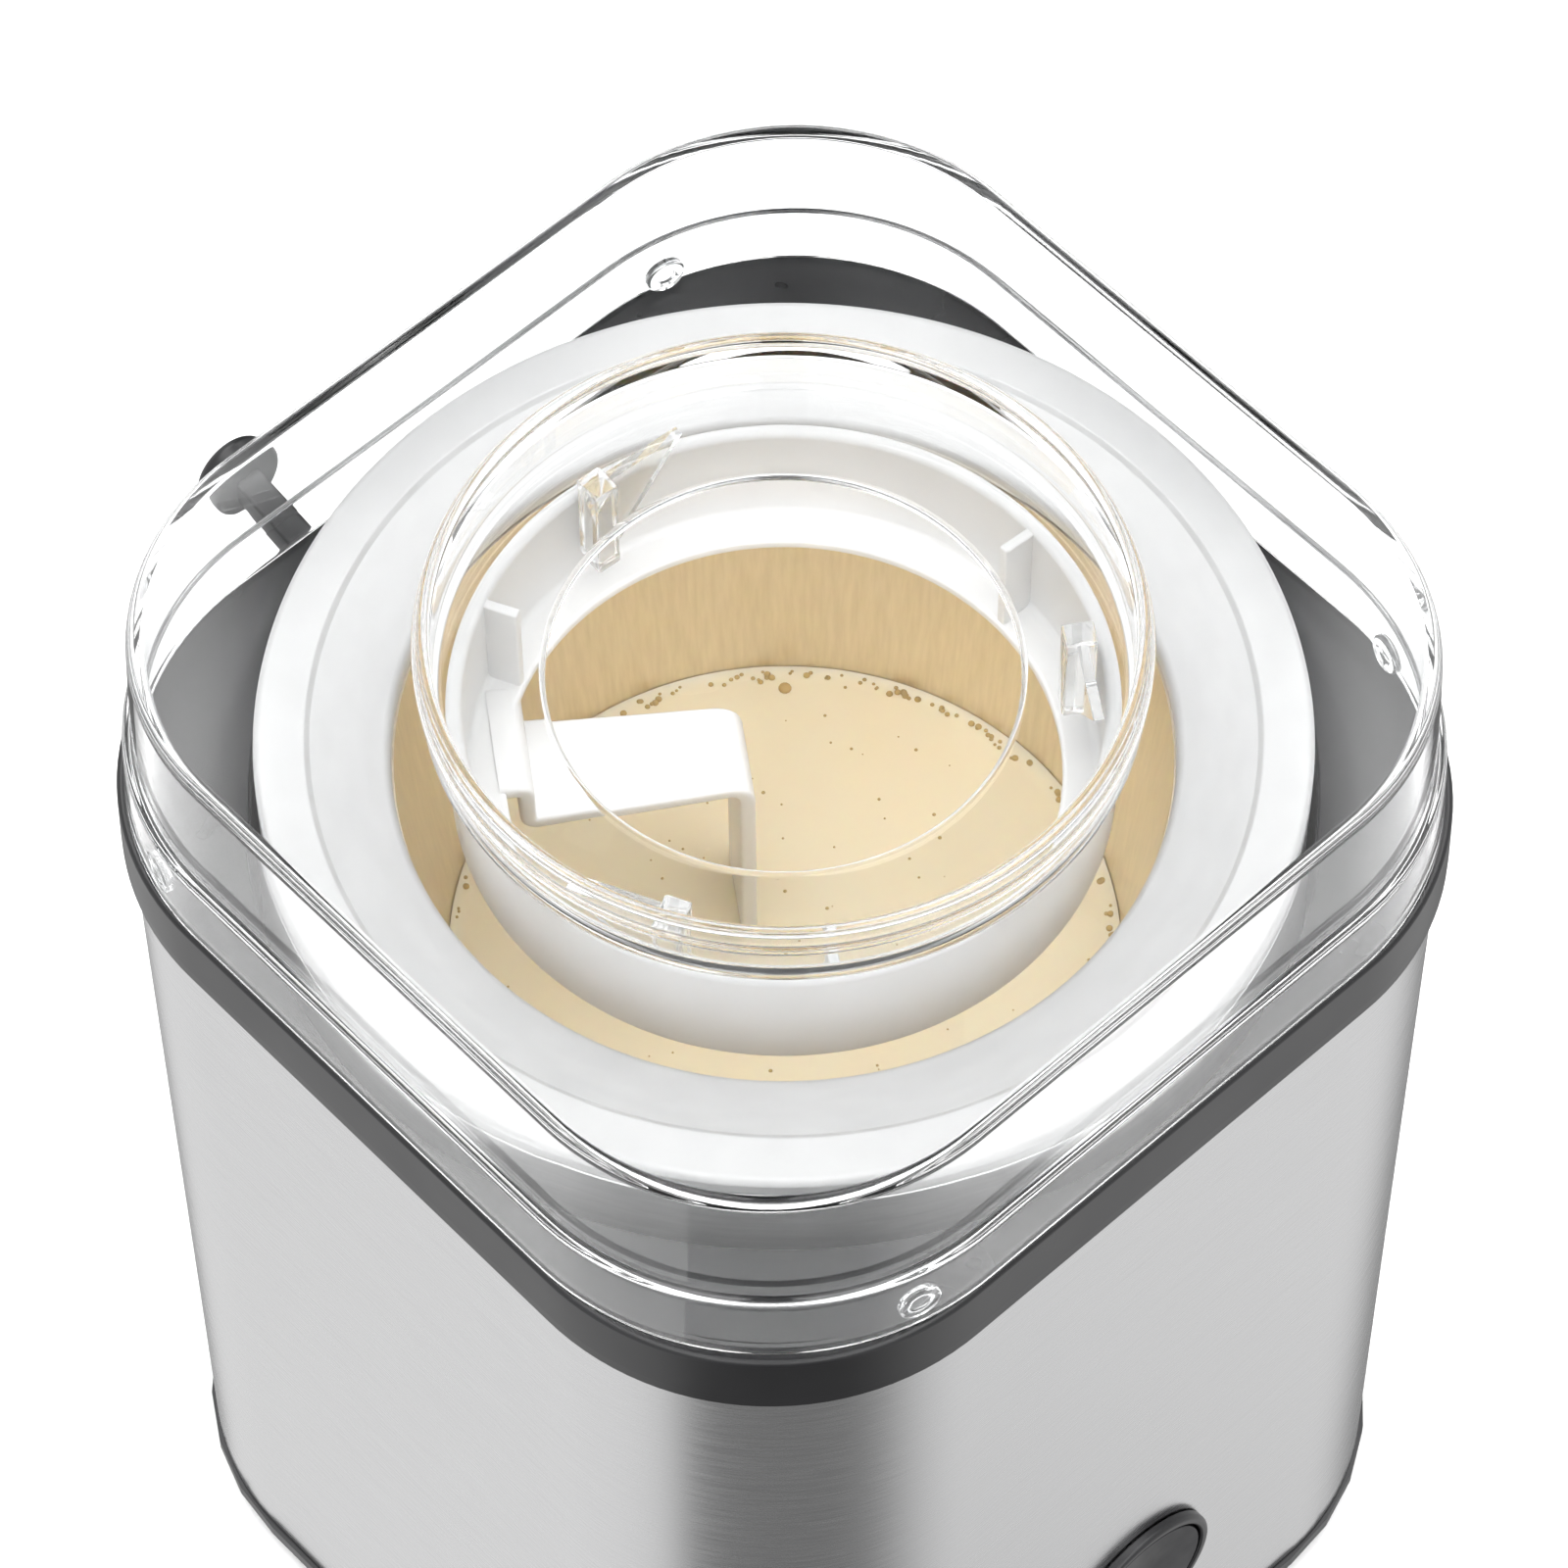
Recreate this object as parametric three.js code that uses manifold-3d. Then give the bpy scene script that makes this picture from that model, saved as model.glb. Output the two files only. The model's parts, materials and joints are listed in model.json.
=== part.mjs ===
// Frozen-bowl ice cream maker: a square steel motor base with a round well, a
// double-walled freezer bowl that turns in it, and a clear lid that holds the
// paddle still. Millimetres, +Z up, front (power button) towards -Y. Everything
// is drawn about the drive axis, x = y = 0, and the whole machine is then moved
// along Y so that the origin is the bottom centre of its box.
import * as THREE from "three";
import { mergeVertices } from "three/addons/utils/BufferGeometryUtils.js";
import Module from "manifold-3d";

const wasm = await Module();
wasm.setup();

// ---------------------------------------------------------------- dimensions
const GAP = 0.3; // between faces that touch
const LID_TOP = 287; // top plane of the lid above the table

// clear lid, square with round corners
const LID_WIDTH = 196;
const LID_CORNER = 52;
const LID_WALL = 2.4;
const SKIRT_WIDTH = 204;
const SKIRT_CORNER = 56;
const STEP_Z = LID_TOP - 28.5;
const LID_BOTTOM = LID_TOP - 44.7;
const COLLAR_RADIUS = 65.4;
const COLLAR_WALL = 2.6;
const COLLAR_RISE = 4;
const WELL_FLOOR_Z = LID_TOP - 10;
const FILL_RADIUS = 42.7;
const LUG_ANGLES = [86, -34, 206];
const LUG_DROP = 22.5;
const BOSS_TURN = 14.5; // degrees round a corner of the skirt

// black rim, steel sleeve and base pan
const RIM_TOP = LID_TOP - 45;
const RIM_BOTTOM = RIM_TOP - 15;
const RIM_TOP_WIDTH = 204.6;
const RIM_WIDTH = 205.2;
const RIM_CORNER = 53.6;
const RIM_PLATE = 3;
const SLEEVE_WIDTH = 201.8;
const SLEEVE_CORNER = 52;
const SLEEVE_WALL = 0.8;
const PAN_BOTTOM = 2.5;
const PAN_TOP = 8;
const PAN_FLOOR = 3;
const PAN_WIDTH = 203.8;
const BOWL_OPENING = 98;
const WELL_WALL = 1.8;
const WELL_BOTTOM = 91;

// freezer bowl
const BOWL_RADIUS = 96.3;
const BOWL_TOP = LID_TOP - 28.6;
const BOWL_BOTTOM = 97;
const LIP_OUTER = 86.6;
const LIP_INNER = 71.5;
const LIP_Z = LID_TOP - 35;
const LINER_BOTTOM_RADIUS = 56;
const LINER_FLOOR = 110;
const LINER_WALL = 1.5;
const SKIN = 1.4;
const SOCKET_RADIUS = 24;

// paddle that hangs from the lid
const RING_RADIUS = 61;
const RING_WALL = 3;
const RING_TOP = LID_TOP - 19.6;
const RING_BOTTOM = LID_TOP - 45;
const RING_HOLE = 51;
const FIN_ANGLES = [-4, 116, 236];
const STRAP_TOP = LID_TOP - 53;
const STRAP_THICK = 3;
const STRAP_HEADING = -34.7; // degrees
const STRAP_END = [3.5, 13.3];
const STRAP_LENGTH = 44;
const BLADE_BOTTOM = 115;

// drive train
const MODULE = 1.5;
const GEAR_TEETH = 48;
const PINION_TEETH = 12;
const MOTOR_X = (MODULE * (GEAR_TEETH + PINION_TEETH)) / 2;
const SHAFT_RADIUS = 6;
const MOTOR_SHAFT_RADIUS = 3;
const BORE_GAP = 0.3;
const PLATE_Z = 63;
const PLATE_THICK = 3;
const GEAR_Z = 69;
const GEAR_THICK = 8;
const POST_PLACES = [[-34, -30], [-34, 30], [72, -30], [72, 30]];
const MOTOR_SCREW_REACH = 14;
const ROD_REACH = 76;
const FOOT_REACH = 60;

// front button and rear fittings
const BUTTON_Z = 61;
const BEZEL_RADIUS = 19.5;
const CAP_RADIUS = 17;
const BEZEL_PROUD = 2.4;
const HOOK_X = -28.3;
const HOOK_Y = 119.6; // near face of the tab
const HOOK_RADIUS = 8.3;
const HOOK_THICK = 5;
const HOOK_OFFSET = 5; // from the neck's root to the middle of the tab
const UPPER_HOOK_Z = LID_TOP - 52;
const LOWER_HOOK_Z = 65;
const GLAND_Z = 26;

const SEGMENTS = 48; // round the large circles
const CORNER_STEPS = 7;

// ------------------------------------------------------------------ materials
function finish(color, roughness, metalness, opacity = 1) {
  return new THREE.MeshStandardMaterial({
    color, roughness, metalness, opacity, transparent: opacity < 1,
  });
}
const clearPlastic = finish(0xf4f7f8, 0.05, 0, 0.3);
const blackPlastic = finish(0x1c1c1e, 0.35, 0);
const greyPlastic = finish(0x3a3b3d, 0.5, 0);
const whitePlastic = finish(0xf3f3f1, 0.4, 0);
const brushedSteel = finish(0xc9cacb, 0.35, 1);
const satinMetal = finish(0xe2e3e4, 0.4, 1);
const plainSteel = finish(0xa9abad, 0.3, 1);
const bronze = finish(0xb08d57, 0.4, 1);
const rubber = finish(0x222222, 0.9, 0);
const coolantBlue = finish(0x9fc7d8, 0.6, 0);
const leadGrey = finish(0x6b6d70, 0.6, 0);

// ---------------------------------------------------------------- solid tools
// A closed geometry as a manifold-3d solid, turned to face outwards.
function solid(geometry) {
  const bare = geometry.index ? geometry.toNonIndexed() : geometry.clone();
  bare.deleteAttribute("normal");
  bare.deleteAttribute("uv");
  const merged = mergeVertices(bare, 1e-4);
  const index = merged.index.array;
  const triangles = [];
  for (let i = 0; i < index.length; i += 3) {
    const [a, b, c] = [index[i], index[i + 1], index[i + 2]];
    if (a !== b && b !== c && c !== a) triangles.push(a, b, c);
  }
  const make = (triVerts) => new wasm.Manifold(new wasm.Mesh({
    numProp: 3,
    vertProperties: new Float32Array(merged.attributes.position.array),
    triVerts: new Uint32Array(triVerts),
  }));
  const made = make(triangles);
  return made.volume() > 0 ? made : make(triangles.reverse());
}

function geometryOf(body) {
  const mesh = body.getMesh();
  const geometry = new THREE.BufferGeometry();
  geometry.setAttribute("position", new THREE.Float32BufferAttribute(mesh.vertProperties, 3));
  geometry.setIndex([...mesh.triVerts]);
  const flat = geometry.toNonIndexed();
  flat.computeVertexNormals();
  return flat;
}

const join = (first, ...rest) => rest.reduce((sum, part) => sum.add(part), first);
const cut = (first, ...rest) => rest.reduce((left, part) => left.subtract(part), first);

function cylinder(radius, low, high, x = 0, y = 0, sides = 20) {
  const shape = new THREE.CylinderGeometry(radius, radius, high - low, sides);
  shape.rotateX(Math.PI / 2).translate(x, y, (low + high) / 2);
  return solid(shape);
}

// The same along Y, from the front face at `front` to `back`.
function barrel(radius, front, back, x, z, sides = 28) {
  const shape = new THREE.CylinderGeometry(radius, radius, back - front, sides);
  shape.translate(x, (front + back) / 2, z);
  return solid(shape);
}

function box(low, high) {
  const size = high.map((value, axis) => value - low[axis]);
  const shape = new THREE.BoxGeometry(...size);
  shape.translate(...low.map((value, axis) => value + size[axis] / 2));
  return solid(shape);
}

// A closed profile of [radius, height] points turned round the Z axis.
function turned(profile, sides = SEGMENTS) {
  const points = [...profile, profile[0]].map(([r, z]) => new THREE.Vector2(r, z));
  return solid(new THREE.LatheGeometry(points, sides).rotateX(Math.PI / 2));
}

// The same round an axis along Y through (x, z): heights become distances from y = 0.
function turnedAlongY(profile, x, z, sides = 32) {
  const points = [...profile, profile[0]].map(([r, y]) => new THREE.Vector2(r, y));
  return solid(new THREE.LatheGeometry(points, sides).translate(x, 0, z));
}

// Outline of a square with round corners.
function squareOutline(width, corner) {
  const reach = width / 2 - corner;
  const centres = [[reach, reach], [-reach, reach], [-reach, -reach], [reach, -reach]];
  return centres.flatMap(([x, y], quarter) =>
    Array.from({ length: CORNER_STEPS + 1 }, (_, step) => {
      const angle = (quarter + step / CORNER_STEPS) * (Math.PI / 2);
      return [x + corner * Math.cos(angle), y + corner * Math.sin(angle)];
    }));
}

// A solid through square sections {width, corner, z}, from the lowest to the highest.
function squareStack(sections) {
  const rings = sections.map(({ width, corner, z }) =>
    squareOutline(width, corner).map(([x, y]) => [x, y, z]));
  const count = rings[0].length;
  const corners = [];
  const face = (...points) => corners.push(...points.flat());
  for (let level = 0; level + 1 < rings.length; level++) {
    const [low, high] = [rings[level], rings[level + 1]];
    for (let i = 0; i < count; i++) {
      const next = (i + 1) % count;
      face(low[i], low[next], high[next]);
      face(low[i], high[next], high[i]);
    }
  }
  const bottom = rings[0];
  const top = rings[rings.length - 1];
  for (let i = 0; i < count; i++) {
    const next = (i + 1) % count;
    face([0, 0, bottom[0][2]], bottom[next], bottom[i]);
    face([0, 0, top[0][2]], top[i], top[next]);
  }
  const geometry = new THREE.BufferGeometry();
  geometry.setAttribute("position", new THREE.Float32BufferAttribute(corners, 3));
  return solid(geometry);
}

const squarePrism = (width, corner, low, high) =>
  squareStack([{ width, corner, z: low }, { width, corner, z: high }]);

// Turns an extruded outline so that its axes become Y and Z and its depth runs along X.
const SIDEWAYS = new THREE.Matrix4().makeBasis(
  new THREE.Vector3(0, 1, 0), new THREE.Vector3(0, 0, 1), new THREE.Vector3(1, 0, 0),
);

// A round bar along a smooth curve.
function bar(points, radius, steps) {
  const section = new THREE.Shape().absarc(0, 0, radius, 0, 2 * Math.PI);
  const path = new THREE.CatmullRomCurve3(points.map((point) => new THREE.Vector3(...point)));
  return solid(new THREE.ExtrudeGeometry(section, {
    steps, curveSegments: 3, extrudePath: path, bevelEnabled: false,
  }));
}

// ---------------------------------------------------------------- scene graph
const machine = new THREE.Group();
function add(name, body, material) {
  const mesh = new THREE.Mesh(geometryOf(body), material);
  mesh.name = name;
  machine.add(mesh);
}

// ------------------------------------------------------------------- the base
// Black moulding round the top: a plate with the bowl's opening and an outer band.
function topRim() {
  const outer = squareStack([
    { width: RIM_WIDTH, corner: RIM_CORNER, z: RIM_BOTTOM },
    { width: RIM_WIDTH, corner: RIM_CORNER, z: RIM_BOTTOM + 3 },
    { width: RIM_TOP_WIDTH, corner: RIM_CORNER, z: RIM_TOP - 1 },
    { width: RIM_TOP_WIDTH - 1.6, corner: RIM_CORNER - 0.8, z: RIM_TOP },
  ]);
  const inside = squarePrism(SLEEVE_WIDTH + 2 * GAP, SLEEVE_CORNER + GAP, RIM_BOTTOM - 1,
    RIM_TOP - RIM_PLATE);
  const opening = cylinder(BOWL_OPENING, RIM_BOTTOM, RIM_TOP + 1, 0, 0, SEGMENTS);
  return cut(outer, inside, opening);
}

function steelSleeve() {
  const [low, high] = [PAN_TOP + GAP, RIM_TOP - RIM_PLATE - GAP];
  const inner = SLEEVE_WIDTH - 2 * SLEEVE_WALL;
  return cut(
    squarePrism(SLEEVE_WIDTH, SLEEVE_CORNER, low, high),
    squarePrism(inner, SLEEVE_CORNER - SLEEVE_WALL, low - 1, high + 1),
    barrel(BEZEL_RADIUS - 1, -SLEEVE_WIDTH, 0, 0, BUTTON_Z),
    barrel(8, 0, SLEEVE_WIDTH, HOOK_X, GLAND_Z),
    barrel(3, 0, SLEEVE_WIDTH, HOOK_X, LOWER_HOOK_Z, 16),
  );
}

// Round liner that the bowl stands in, with a hole in its floor for the drive.
function bowlWell() {
  const outer = BOWL_OPENING + WELL_WALL;
  const top = RIM_TOP - RIM_PLATE - GAP;
  return turned([
    [15, WELL_BOTTOM], [outer, WELL_BOTTOM], [outer, top], [BOWL_OPENING, top],
    [BOWL_OPENING, WELL_BOTTOM + 3], [15, WELL_BOTTOM + 3],
  ]);
}

function basePan() {
  const floorTop = PAN_BOTTOM + PAN_FLOOR;
  const outside = squareStack([
    { width: PAN_WIDTH - 5, corner: SLEEVE_CORNER - 2, z: PAN_BOTTOM },
    { width: PAN_WIDTH, corner: SLEEVE_CORNER + 1, z: PAN_BOTTOM + 2.5 },
    { width: PAN_WIDTH, corner: SLEEVE_CORNER + 1, z: PAN_TOP },
  ]);
  const upstand = squarePrism(SLEEVE_WIDTH - 2.5, SLEEVE_CORNER - 1.2, floorTop, PAN_TOP + 8);
  const hollow = squarePrism(SLEEVE_WIDTH - 6.5, SLEEVE_CORNER - 3.2, floorTop, PAN_TOP + 9);
  const holes = cornerPlaces(ROD_REACH).map(([x, y]) =>
    cylinder(2.1, PAN_BOTTOM - 1, floorTop + 1, x, y, 10));
  const vents = Array.from({ length: 7 }, (_, i) => MOTOR_X - 18 + 6 * i).map((x) =>
    box([x - 1.5, -16, PAN_BOTTOM - 1], [x + 1.5, 16, floorTop + 1]));
  return cut(join(outside, upstand), hollow, ...holes, ...vents);
}

const cornerPlaces = (reach) => [[-reach, -reach], [reach, -reach], [reach, reach], [-reach, reach]];

function rubberFoot([x, y]) {
  return turned([[0, 0], [9, 0], [10, 1], [10, PAN_BOTTOM - GAP], [0, PAN_BOTTOM - GAP]], 20)
    .translate([x, y, 0]);
}

// A rod with a tapped hole in its lower end, or in its upper end.
function rod(radius, low, high, [x, y], holeAtTop) {
  const [from, to] = holeAtTop ? [high - 9, high + 1] : [low - 1, low + 9];
  return cut(cylinder(radius, low, high, x, y, 12), cylinder(2, from, to, x, y, 8));
}

// A screw with its head at `seat` and its shank running to `tip`.
function screw(seat, tip, [x, y]) {
  const head = seat > tip ? [seat, seat + 2] : [seat - 2, seat];
  const shank = [Math.min(seat, tip) - 0.01, Math.max(seat, tip) + 0.01];
  return join(cylinder(3.4, ...head, x, y, 10), cylinder(1.7, ...shank, x, y, 8));
}

// -------------------------------------------------------------- drive train
// Spur gear with straight-sided teeth, thinned a little for backlash.
function gear(teeth, low, high, bore, firstTooth) {
  const pitch = (MODULE * teeth) / 2;
  const [root, tip] = [pitch - 1.15 * MODULE, pitch + 0.85 * MODULE];
  const toothAngle = (2 * Math.PI) / teeth;
  const outline = Array.from({ length: teeth }, (_, i) => firstTooth + i * toothAngle)
    .flatMap((middle) => [
      [root, middle - 0.31 * toothAngle], [tip, middle - 0.12 * toothAngle],
      [tip, middle + 0.12 * toothAngle], [root, middle + 0.31 * toothAngle],
    ])
    .map(([r, angle]) => new THREE.Vector2(r * Math.cos(angle), r * Math.sin(angle)));
  const shape = new THREE.ExtrudeGeometry(new THREE.Shape(outline), {
    depth: high - low, bevelEnabled: false,
  });
  shape.translate(0, 0, low);
  return cut(solid(shape), cylinder(bore, low - 1, high + 1));
}

function outputGear() {
  const bore = SHAFT_RADIUS + BORE_GAP;
  return gear(GEAR_TEETH, GEAR_Z, GEAR_Z + GEAR_THICK, bore, 0);
}

function pinion() {
  const bore = MOTOR_SHAFT_RADIUS + BORE_GAP;
  // a gap between two teeth faces the output gear's tooth at angle 0
  const turn = Math.PI + Math.PI / PINION_TEETH;
  return gear(PINION_TEETH, GEAR_Z - 0.5, GEAR_Z + GEAR_THICK + 0.5, bore, turn)
    .translate([MOTOR_X, 0, 0]);
}

function gearPlate() {
  const plate = box([-42, -38, PLATE_Z], [80, 38, PLATE_Z + PLATE_THICK]);
  const hole = (radius, [x, y]) => cylinder(radius, PLATE_Z - 1, PLATE_Z + 4, x, y, 16);
  return cut(
    plate, hole(12, [0, 0]), hole(8.4, [MOTOR_X, 0]),
    ...POST_PLACES.map((place) => hole(2.1, place)),
    ...motorScrewPlaces.map((place) => hole(2.1, place)),
  );
}
const motorScrewPlaces = [[MOTOR_X, -MOTOR_SCREW_REACH], [MOTOR_X, MOTOR_SCREW_REACH]];

function motorCan() {
  const bore = MOTOR_SHAFT_RADIUS + BORE_GAP;
  const can = turned([
    [0, 13], [7, 13], [7, 15], [19, 15], [20, 16.5], [20, PLATE_Z - 2], [19, PLATE_Z - GAP],
    [bore, PLATE_Z - GAP], [bore, 50], [0, 50],
  ], 28).translate([MOTOR_X, 0, 0]);
  return cut(can, ...motorScrewPlaces.map(([x, y]) => cylinder(2, 50, PLATE_Z + 1, x, y, 8)));
}

function bush(bore, neck, flange, low, flangeTop, high) {
  return turned([[bore, low], [flange, low], [flange, flangeTop], [neck, flangeTop],
    [neck, high], [bore, high]], 24);
}

// Turntable with a six-sided dog that fits the socket under the bowl.
function driveHub() {
  const disc = cylinder(20, WELL_BOTTOM + 3.6, BOWL_BOTTOM - 0.4, 0, 0, 32);
  const dog = cylinder(12, BOWL_BOTTOM - 1, BOWL_BOTTOM + 8.5, 0, 0, 6);
  return cut(join(disc, dog), cylinder(SHAFT_RADIUS + BORE_GAP, 80, BOWL_BOTTOM + 4.5));
}

// ------------------------------------------------------------- freezer bowl
const linerSlope = (LIP_INNER - LINER_BOTTOM_RADIUS) / (LIP_Z - LINER_FLOOR);
const linerRadius = (z) => LINER_BOTTOM_RADIUS + linerSlope * (z - LINER_FLOOR);
const LINER_TOP = LIP_Z - 3;
const LINER_FILLET = 10;

// Inside profile of the liner from the axis out, moved outwards by `skin`.
function linerProfile(skin) {
  const low = LINER_FLOOR - skin;
  const points = [[0, low]];
  for (let step = 0; step <= 3; step++) {
    const angle = (step / 3) * (Math.PI / 2);
    const z = LINER_FLOOR + LINER_FILLET * (1 - Math.cos(angle)) - skin * Math.cos(angle);
    const r = linerRadius(LINER_FLOOR + LINER_FILLET) - LINER_FILLET
      + (LINER_FILLET + skin) * Math.sin(angle);
    points.push([r, z]);
  }
  points.push([linerRadius(LINER_TOP) + skin, LINER_TOP]);
  return points;
}

function innerLiner() {
  return turned([...linerProfile(LINER_WALL), ...linerProfile(0).reverse()]);
}

function bowlRim() {
  const skinTop = BOWL_TOP - 2.6;
  return turned([
    [BOWL_RADIUS, BOWL_TOP - 4], [BOWL_RADIUS, BOWL_TOP - 1.2], [BOWL_RADIUS - 1.2, BOWL_TOP],
    [LIP_OUTER, BOWL_TOP], [LIP_INNER + 1, LIP_Z + 1], [LIP_INNER, LIP_Z - 0.5],
    [LIP_INNER, LINER_TOP + GAP], [LIP_INNER + 2, LINER_TOP + GAP],
    [LIP_OUTER, skinTop - 0.9], [BOWL_RADIUS - 2.4, skinTop - 0.9],
    [BOWL_RADIUS - 2.4, BOWL_TOP - 4],
  ]);
}

function outerShell() {
  const top = BOWL_TOP - 4 - GAP;
  const hole = SOCKET_RADIUS + GAP;
  return turned([
    [hole, BOWL_BOTTOM], [BOWL_RADIUS - 3, BOWL_BOTTOM], [BOWL_RADIUS, BOWL_BOTTOM + 3],
    [BOWL_RADIUS, top], [BOWL_RADIUS - SKIN, top], [BOWL_RADIUS - SKIN, BOWL_BOTTOM + 3.6],
    [BOWL_RADIUS - 3.6, BOWL_BOTTOM + SKIN], [hole, BOWL_BOTTOM + SKIN],
  ]);
}

// The freezing liquid between the two walls.
function coolant() {
  const inset = LINER_WALL + 0.5;
  const fill = LINER_TOP - 8;
  const wall = BOWL_RADIUS - SKIN - 0.5;
  const low = LINER_FLOOR - inset;
  const liner = linerProfile(inset).slice(1, -1).reverse();
  return turned([
    [SOCKET_RADIUS + 0.6, BOWL_BOTTOM + SKIN + 0.4], [wall - 4, BOWL_BOTTOM + SKIN + 0.4],
    [wall, BOWL_BOTTOM + 5], [wall, fill], [linerRadius(fill) + inset, fill], ...liner,
    [SOCKET_RADIUS + 0.6, low],
  ], 32);
}

function bowlSocket() {
  const top = LINER_FLOOR - LINER_WALL - 0.4;
  return cut(cylinder(SOCKET_RADIUS, BOWL_BOTTOM, top, 0, 0, 48),
    cylinder(12.6, BOWL_BOTTOM - 1, BOWL_BOTTOM + 9, 0, 0, 6));
}

// ---------------------------------------------------------------------- lid
function lidShell(inset, top) {
  const side = 2 * inset;
  return squareStack([
    { width: SKIRT_WIDTH - side, corner: SKIRT_CORNER - inset, z: LID_BOTTOM - (inset ? 1 : 0) },
    { width: SKIRT_WIDTH - 1.4 - side, corner: SKIRT_CORNER - inset, z: STEP_Z - 0.8 - inset },
    { width: SKIRT_WIDTH - 2.6 - side, corner: SKIRT_CORNER - 0.6 - inset, z: STEP_Z - inset },
    { width: LID_WIDTH + 3.2 - side, corner: LID_CORNER + 1 - inset, z: STEP_Z + 0.4 - inset },
    { width: LID_WIDTH + 2 - side, corner: LID_CORNER + 0.6 - inset, z: STEP_Z + 2 - inset },
    { width: LID_WIDTH + 0.4 - side, corner: LID_CORNER - inset, z: top - 1.8 },
    { width: LID_WIDTH - 0.8 - side, corner: LID_CORNER - 0.6 - inset, z: top - 0.5 },
    { width: LID_WIDTH - 3.2 - side, corner: LID_CORNER - 1.8 - inset, z: top },
  ]);
}

// A lug under the well floor: a post with a tapering web beside it.
function lidLug(angle) {
  const top = WELL_FLOOR_Z - 1;
  const low = WELL_FLOOR_Z - LID_WALL - LUG_DROP;
  const post = box([51, -2.6, low], [57, 2.6, top]);
  const outline = [[2.5, top], [2.5, low + 2], [-2.6, low + 2], [-19, top]];
  const web = new THREE.ExtrudeGeometry(
    new THREE.Shape(outline.map(([y, z]) => new THREE.Vector2(y, z))),
    { depth: 2, bevelEnabled: false },
  );
  web.applyMatrix4(SIDEWAYS);
  return join(post, solid(web.translate(53, 0, 0))).rotate([0, 0, angle]);
}

// A small round locating boss inside the skirt, one at the start of each corner.
function skirtBoss(quarter) {
  const wall = SKIRT_CORNER - LID_WALL;
  const turn = SKIRT_WIDTH / 2 - SKIRT_CORNER;
  const boss = barrel(4, -wall - 0.5, -wall + 1.8, 0, LID_BOTTOM + 4.7, 24);
  const dimple = barrel(2, -wall + 0.9, -wall + 3, 0, LID_BOTTOM + 4.7, 16);
  return cut(boss, dimple)
    .rotate([0, 0, -BOSS_TURN])
    .translate([-turn, -turn, 0])
    .rotate([0, 0, 90 * quarter]);
}

function clearLid() {
  const hollow = lidShell(LID_WALL, LID_TOP - LID_WALL);
  const well = cylinder(COLLAR_RADIUS, WELL_FLOOR_Z - LID_WALL, LID_TOP + COLLAR_RISE,
    0, 0, SEGMENTS);
  const wellInside = cylinder(COLLAR_RADIUS - COLLAR_WALL, WELL_FLOOR_Z,
    LID_TOP + COLLAR_RISE + 1, 0, 0, SEGMENTS);
  const fillHole = cylinder(FILL_RADIUS, WELL_FLOOR_Z - 5, WELL_FLOOR_Z + 1, 0, 0, 48);
  const shell = cut(lidShell(0, LID_TOP), hollow);
  const open = cut(join(shell, well), wellInside, fillHole);
  return join(open, ...LUG_ANGLES.map(lidLug), ...[0, 1, 2, 3].map(skirtBoss));
}

// ------------------------------------------------------------------- paddle
function paddle() {
  const ring = turned([
    [RING_HOLE, RING_BOTTOM], [RING_RADIUS, RING_BOTTOM], [RING_RADIUS, RING_TOP],
    [RING_RADIUS - RING_WALL, RING_TOP], [RING_RADIUS - RING_WALL, RING_BOTTOM + 2.5],
    [RING_HOLE, RING_BOTTOM + 2.5],
  ]);
  const fin = (angle) => box([RING_HOLE + 0.5, -1, RING_BOTTOM + 1],
    [RING_RADIUS - RING_WALL + 1, 1, RING_TOP - 0.5]).rotate([0, 0, angle]);
  return join(ring, ...FIN_ANGLES.map(fin), paddleArm());
}

// Drop leg, strap, blade and scraper, drawn along +X with the blade at x = 0.
function paddleArm() {
  const strapLow = STRAP_TOP - STRAP_THICK;
  const shapes = [
    box([-STRAP_LENGTH, -11, strapLow], [-STRAP_LENGTH + 3, 11, RING_BOTTOM + 1]),
    box([-STRAP_LENGTH - 6, -11, RING_BOTTOM], [-STRAP_LENGTH + 3, 11, RING_BOTTOM + 2.5]),
    box([-STRAP_LENGTH, -10, strapLow], [0, 10, STRAP_TOP]),
    box([-STRAP_THICK, -10, BLADE_BOTTOM], [0, 10, STRAP_TOP]),
    box([-STRAP_THICK, -10, BLADE_BOTTOM], [46, -7, BLADE_BOTTOM + 14]),
    box([34, -10, BLADE_BOTTOM], [46, -7, LID_TOP - 122]),
  ];
  return join(...shapes)
    .rotate([0, 0, STRAP_HEADING])
    .translate([...STRAP_END, 0]);
}

// ------------------------------------------------- button and rear fittings
const FACE = -SLEEVE_WIDTH / 2;

function buttonBezel() {
  const [bore, neck] = [CAP_RADIUS + 0.4, BEZEL_RADIUS - 1.3];
  return turnedAlongY([
    [bore, FACE - BEZEL_PROUD], [BEZEL_RADIUS - 0.6, FACE - BEZEL_PROUD],
    [BEZEL_RADIUS, FACE - BEZEL_PROUD + 0.6], [BEZEL_RADIUS, FACE - GAP],
    [neck, FACE - GAP], [neck, FACE + 9], [bore, FACE + 9],
  ], 0, BUTTON_Z, 32);
}

function buttonCap() {
  const front = FACE - BEZEL_PROUD + 0.3;
  return turnedAlongY([
    [0, front + 0.7], [CAP_RADIUS - 0.6, front], [CAP_RADIUS, front + 0.5],
    [CAP_RADIUS, front + 5], [4, front + 5], [4, FACE + 14], [0, FACE + 14],
  ], 0, BUTTON_Z, 32);
}

// Switch behind the button, with a well that the button's stem goes into.
function switchBody() {
  const housing = box([-12, FACE + 10, BUTTON_Z - 14], [12, FACE + 32, BUTTON_Z + 14]);
  return cut(housing, barrel(4.6, FACE + 9, FACE + 18, 0, BUTTON_Z, 24));
}

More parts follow.
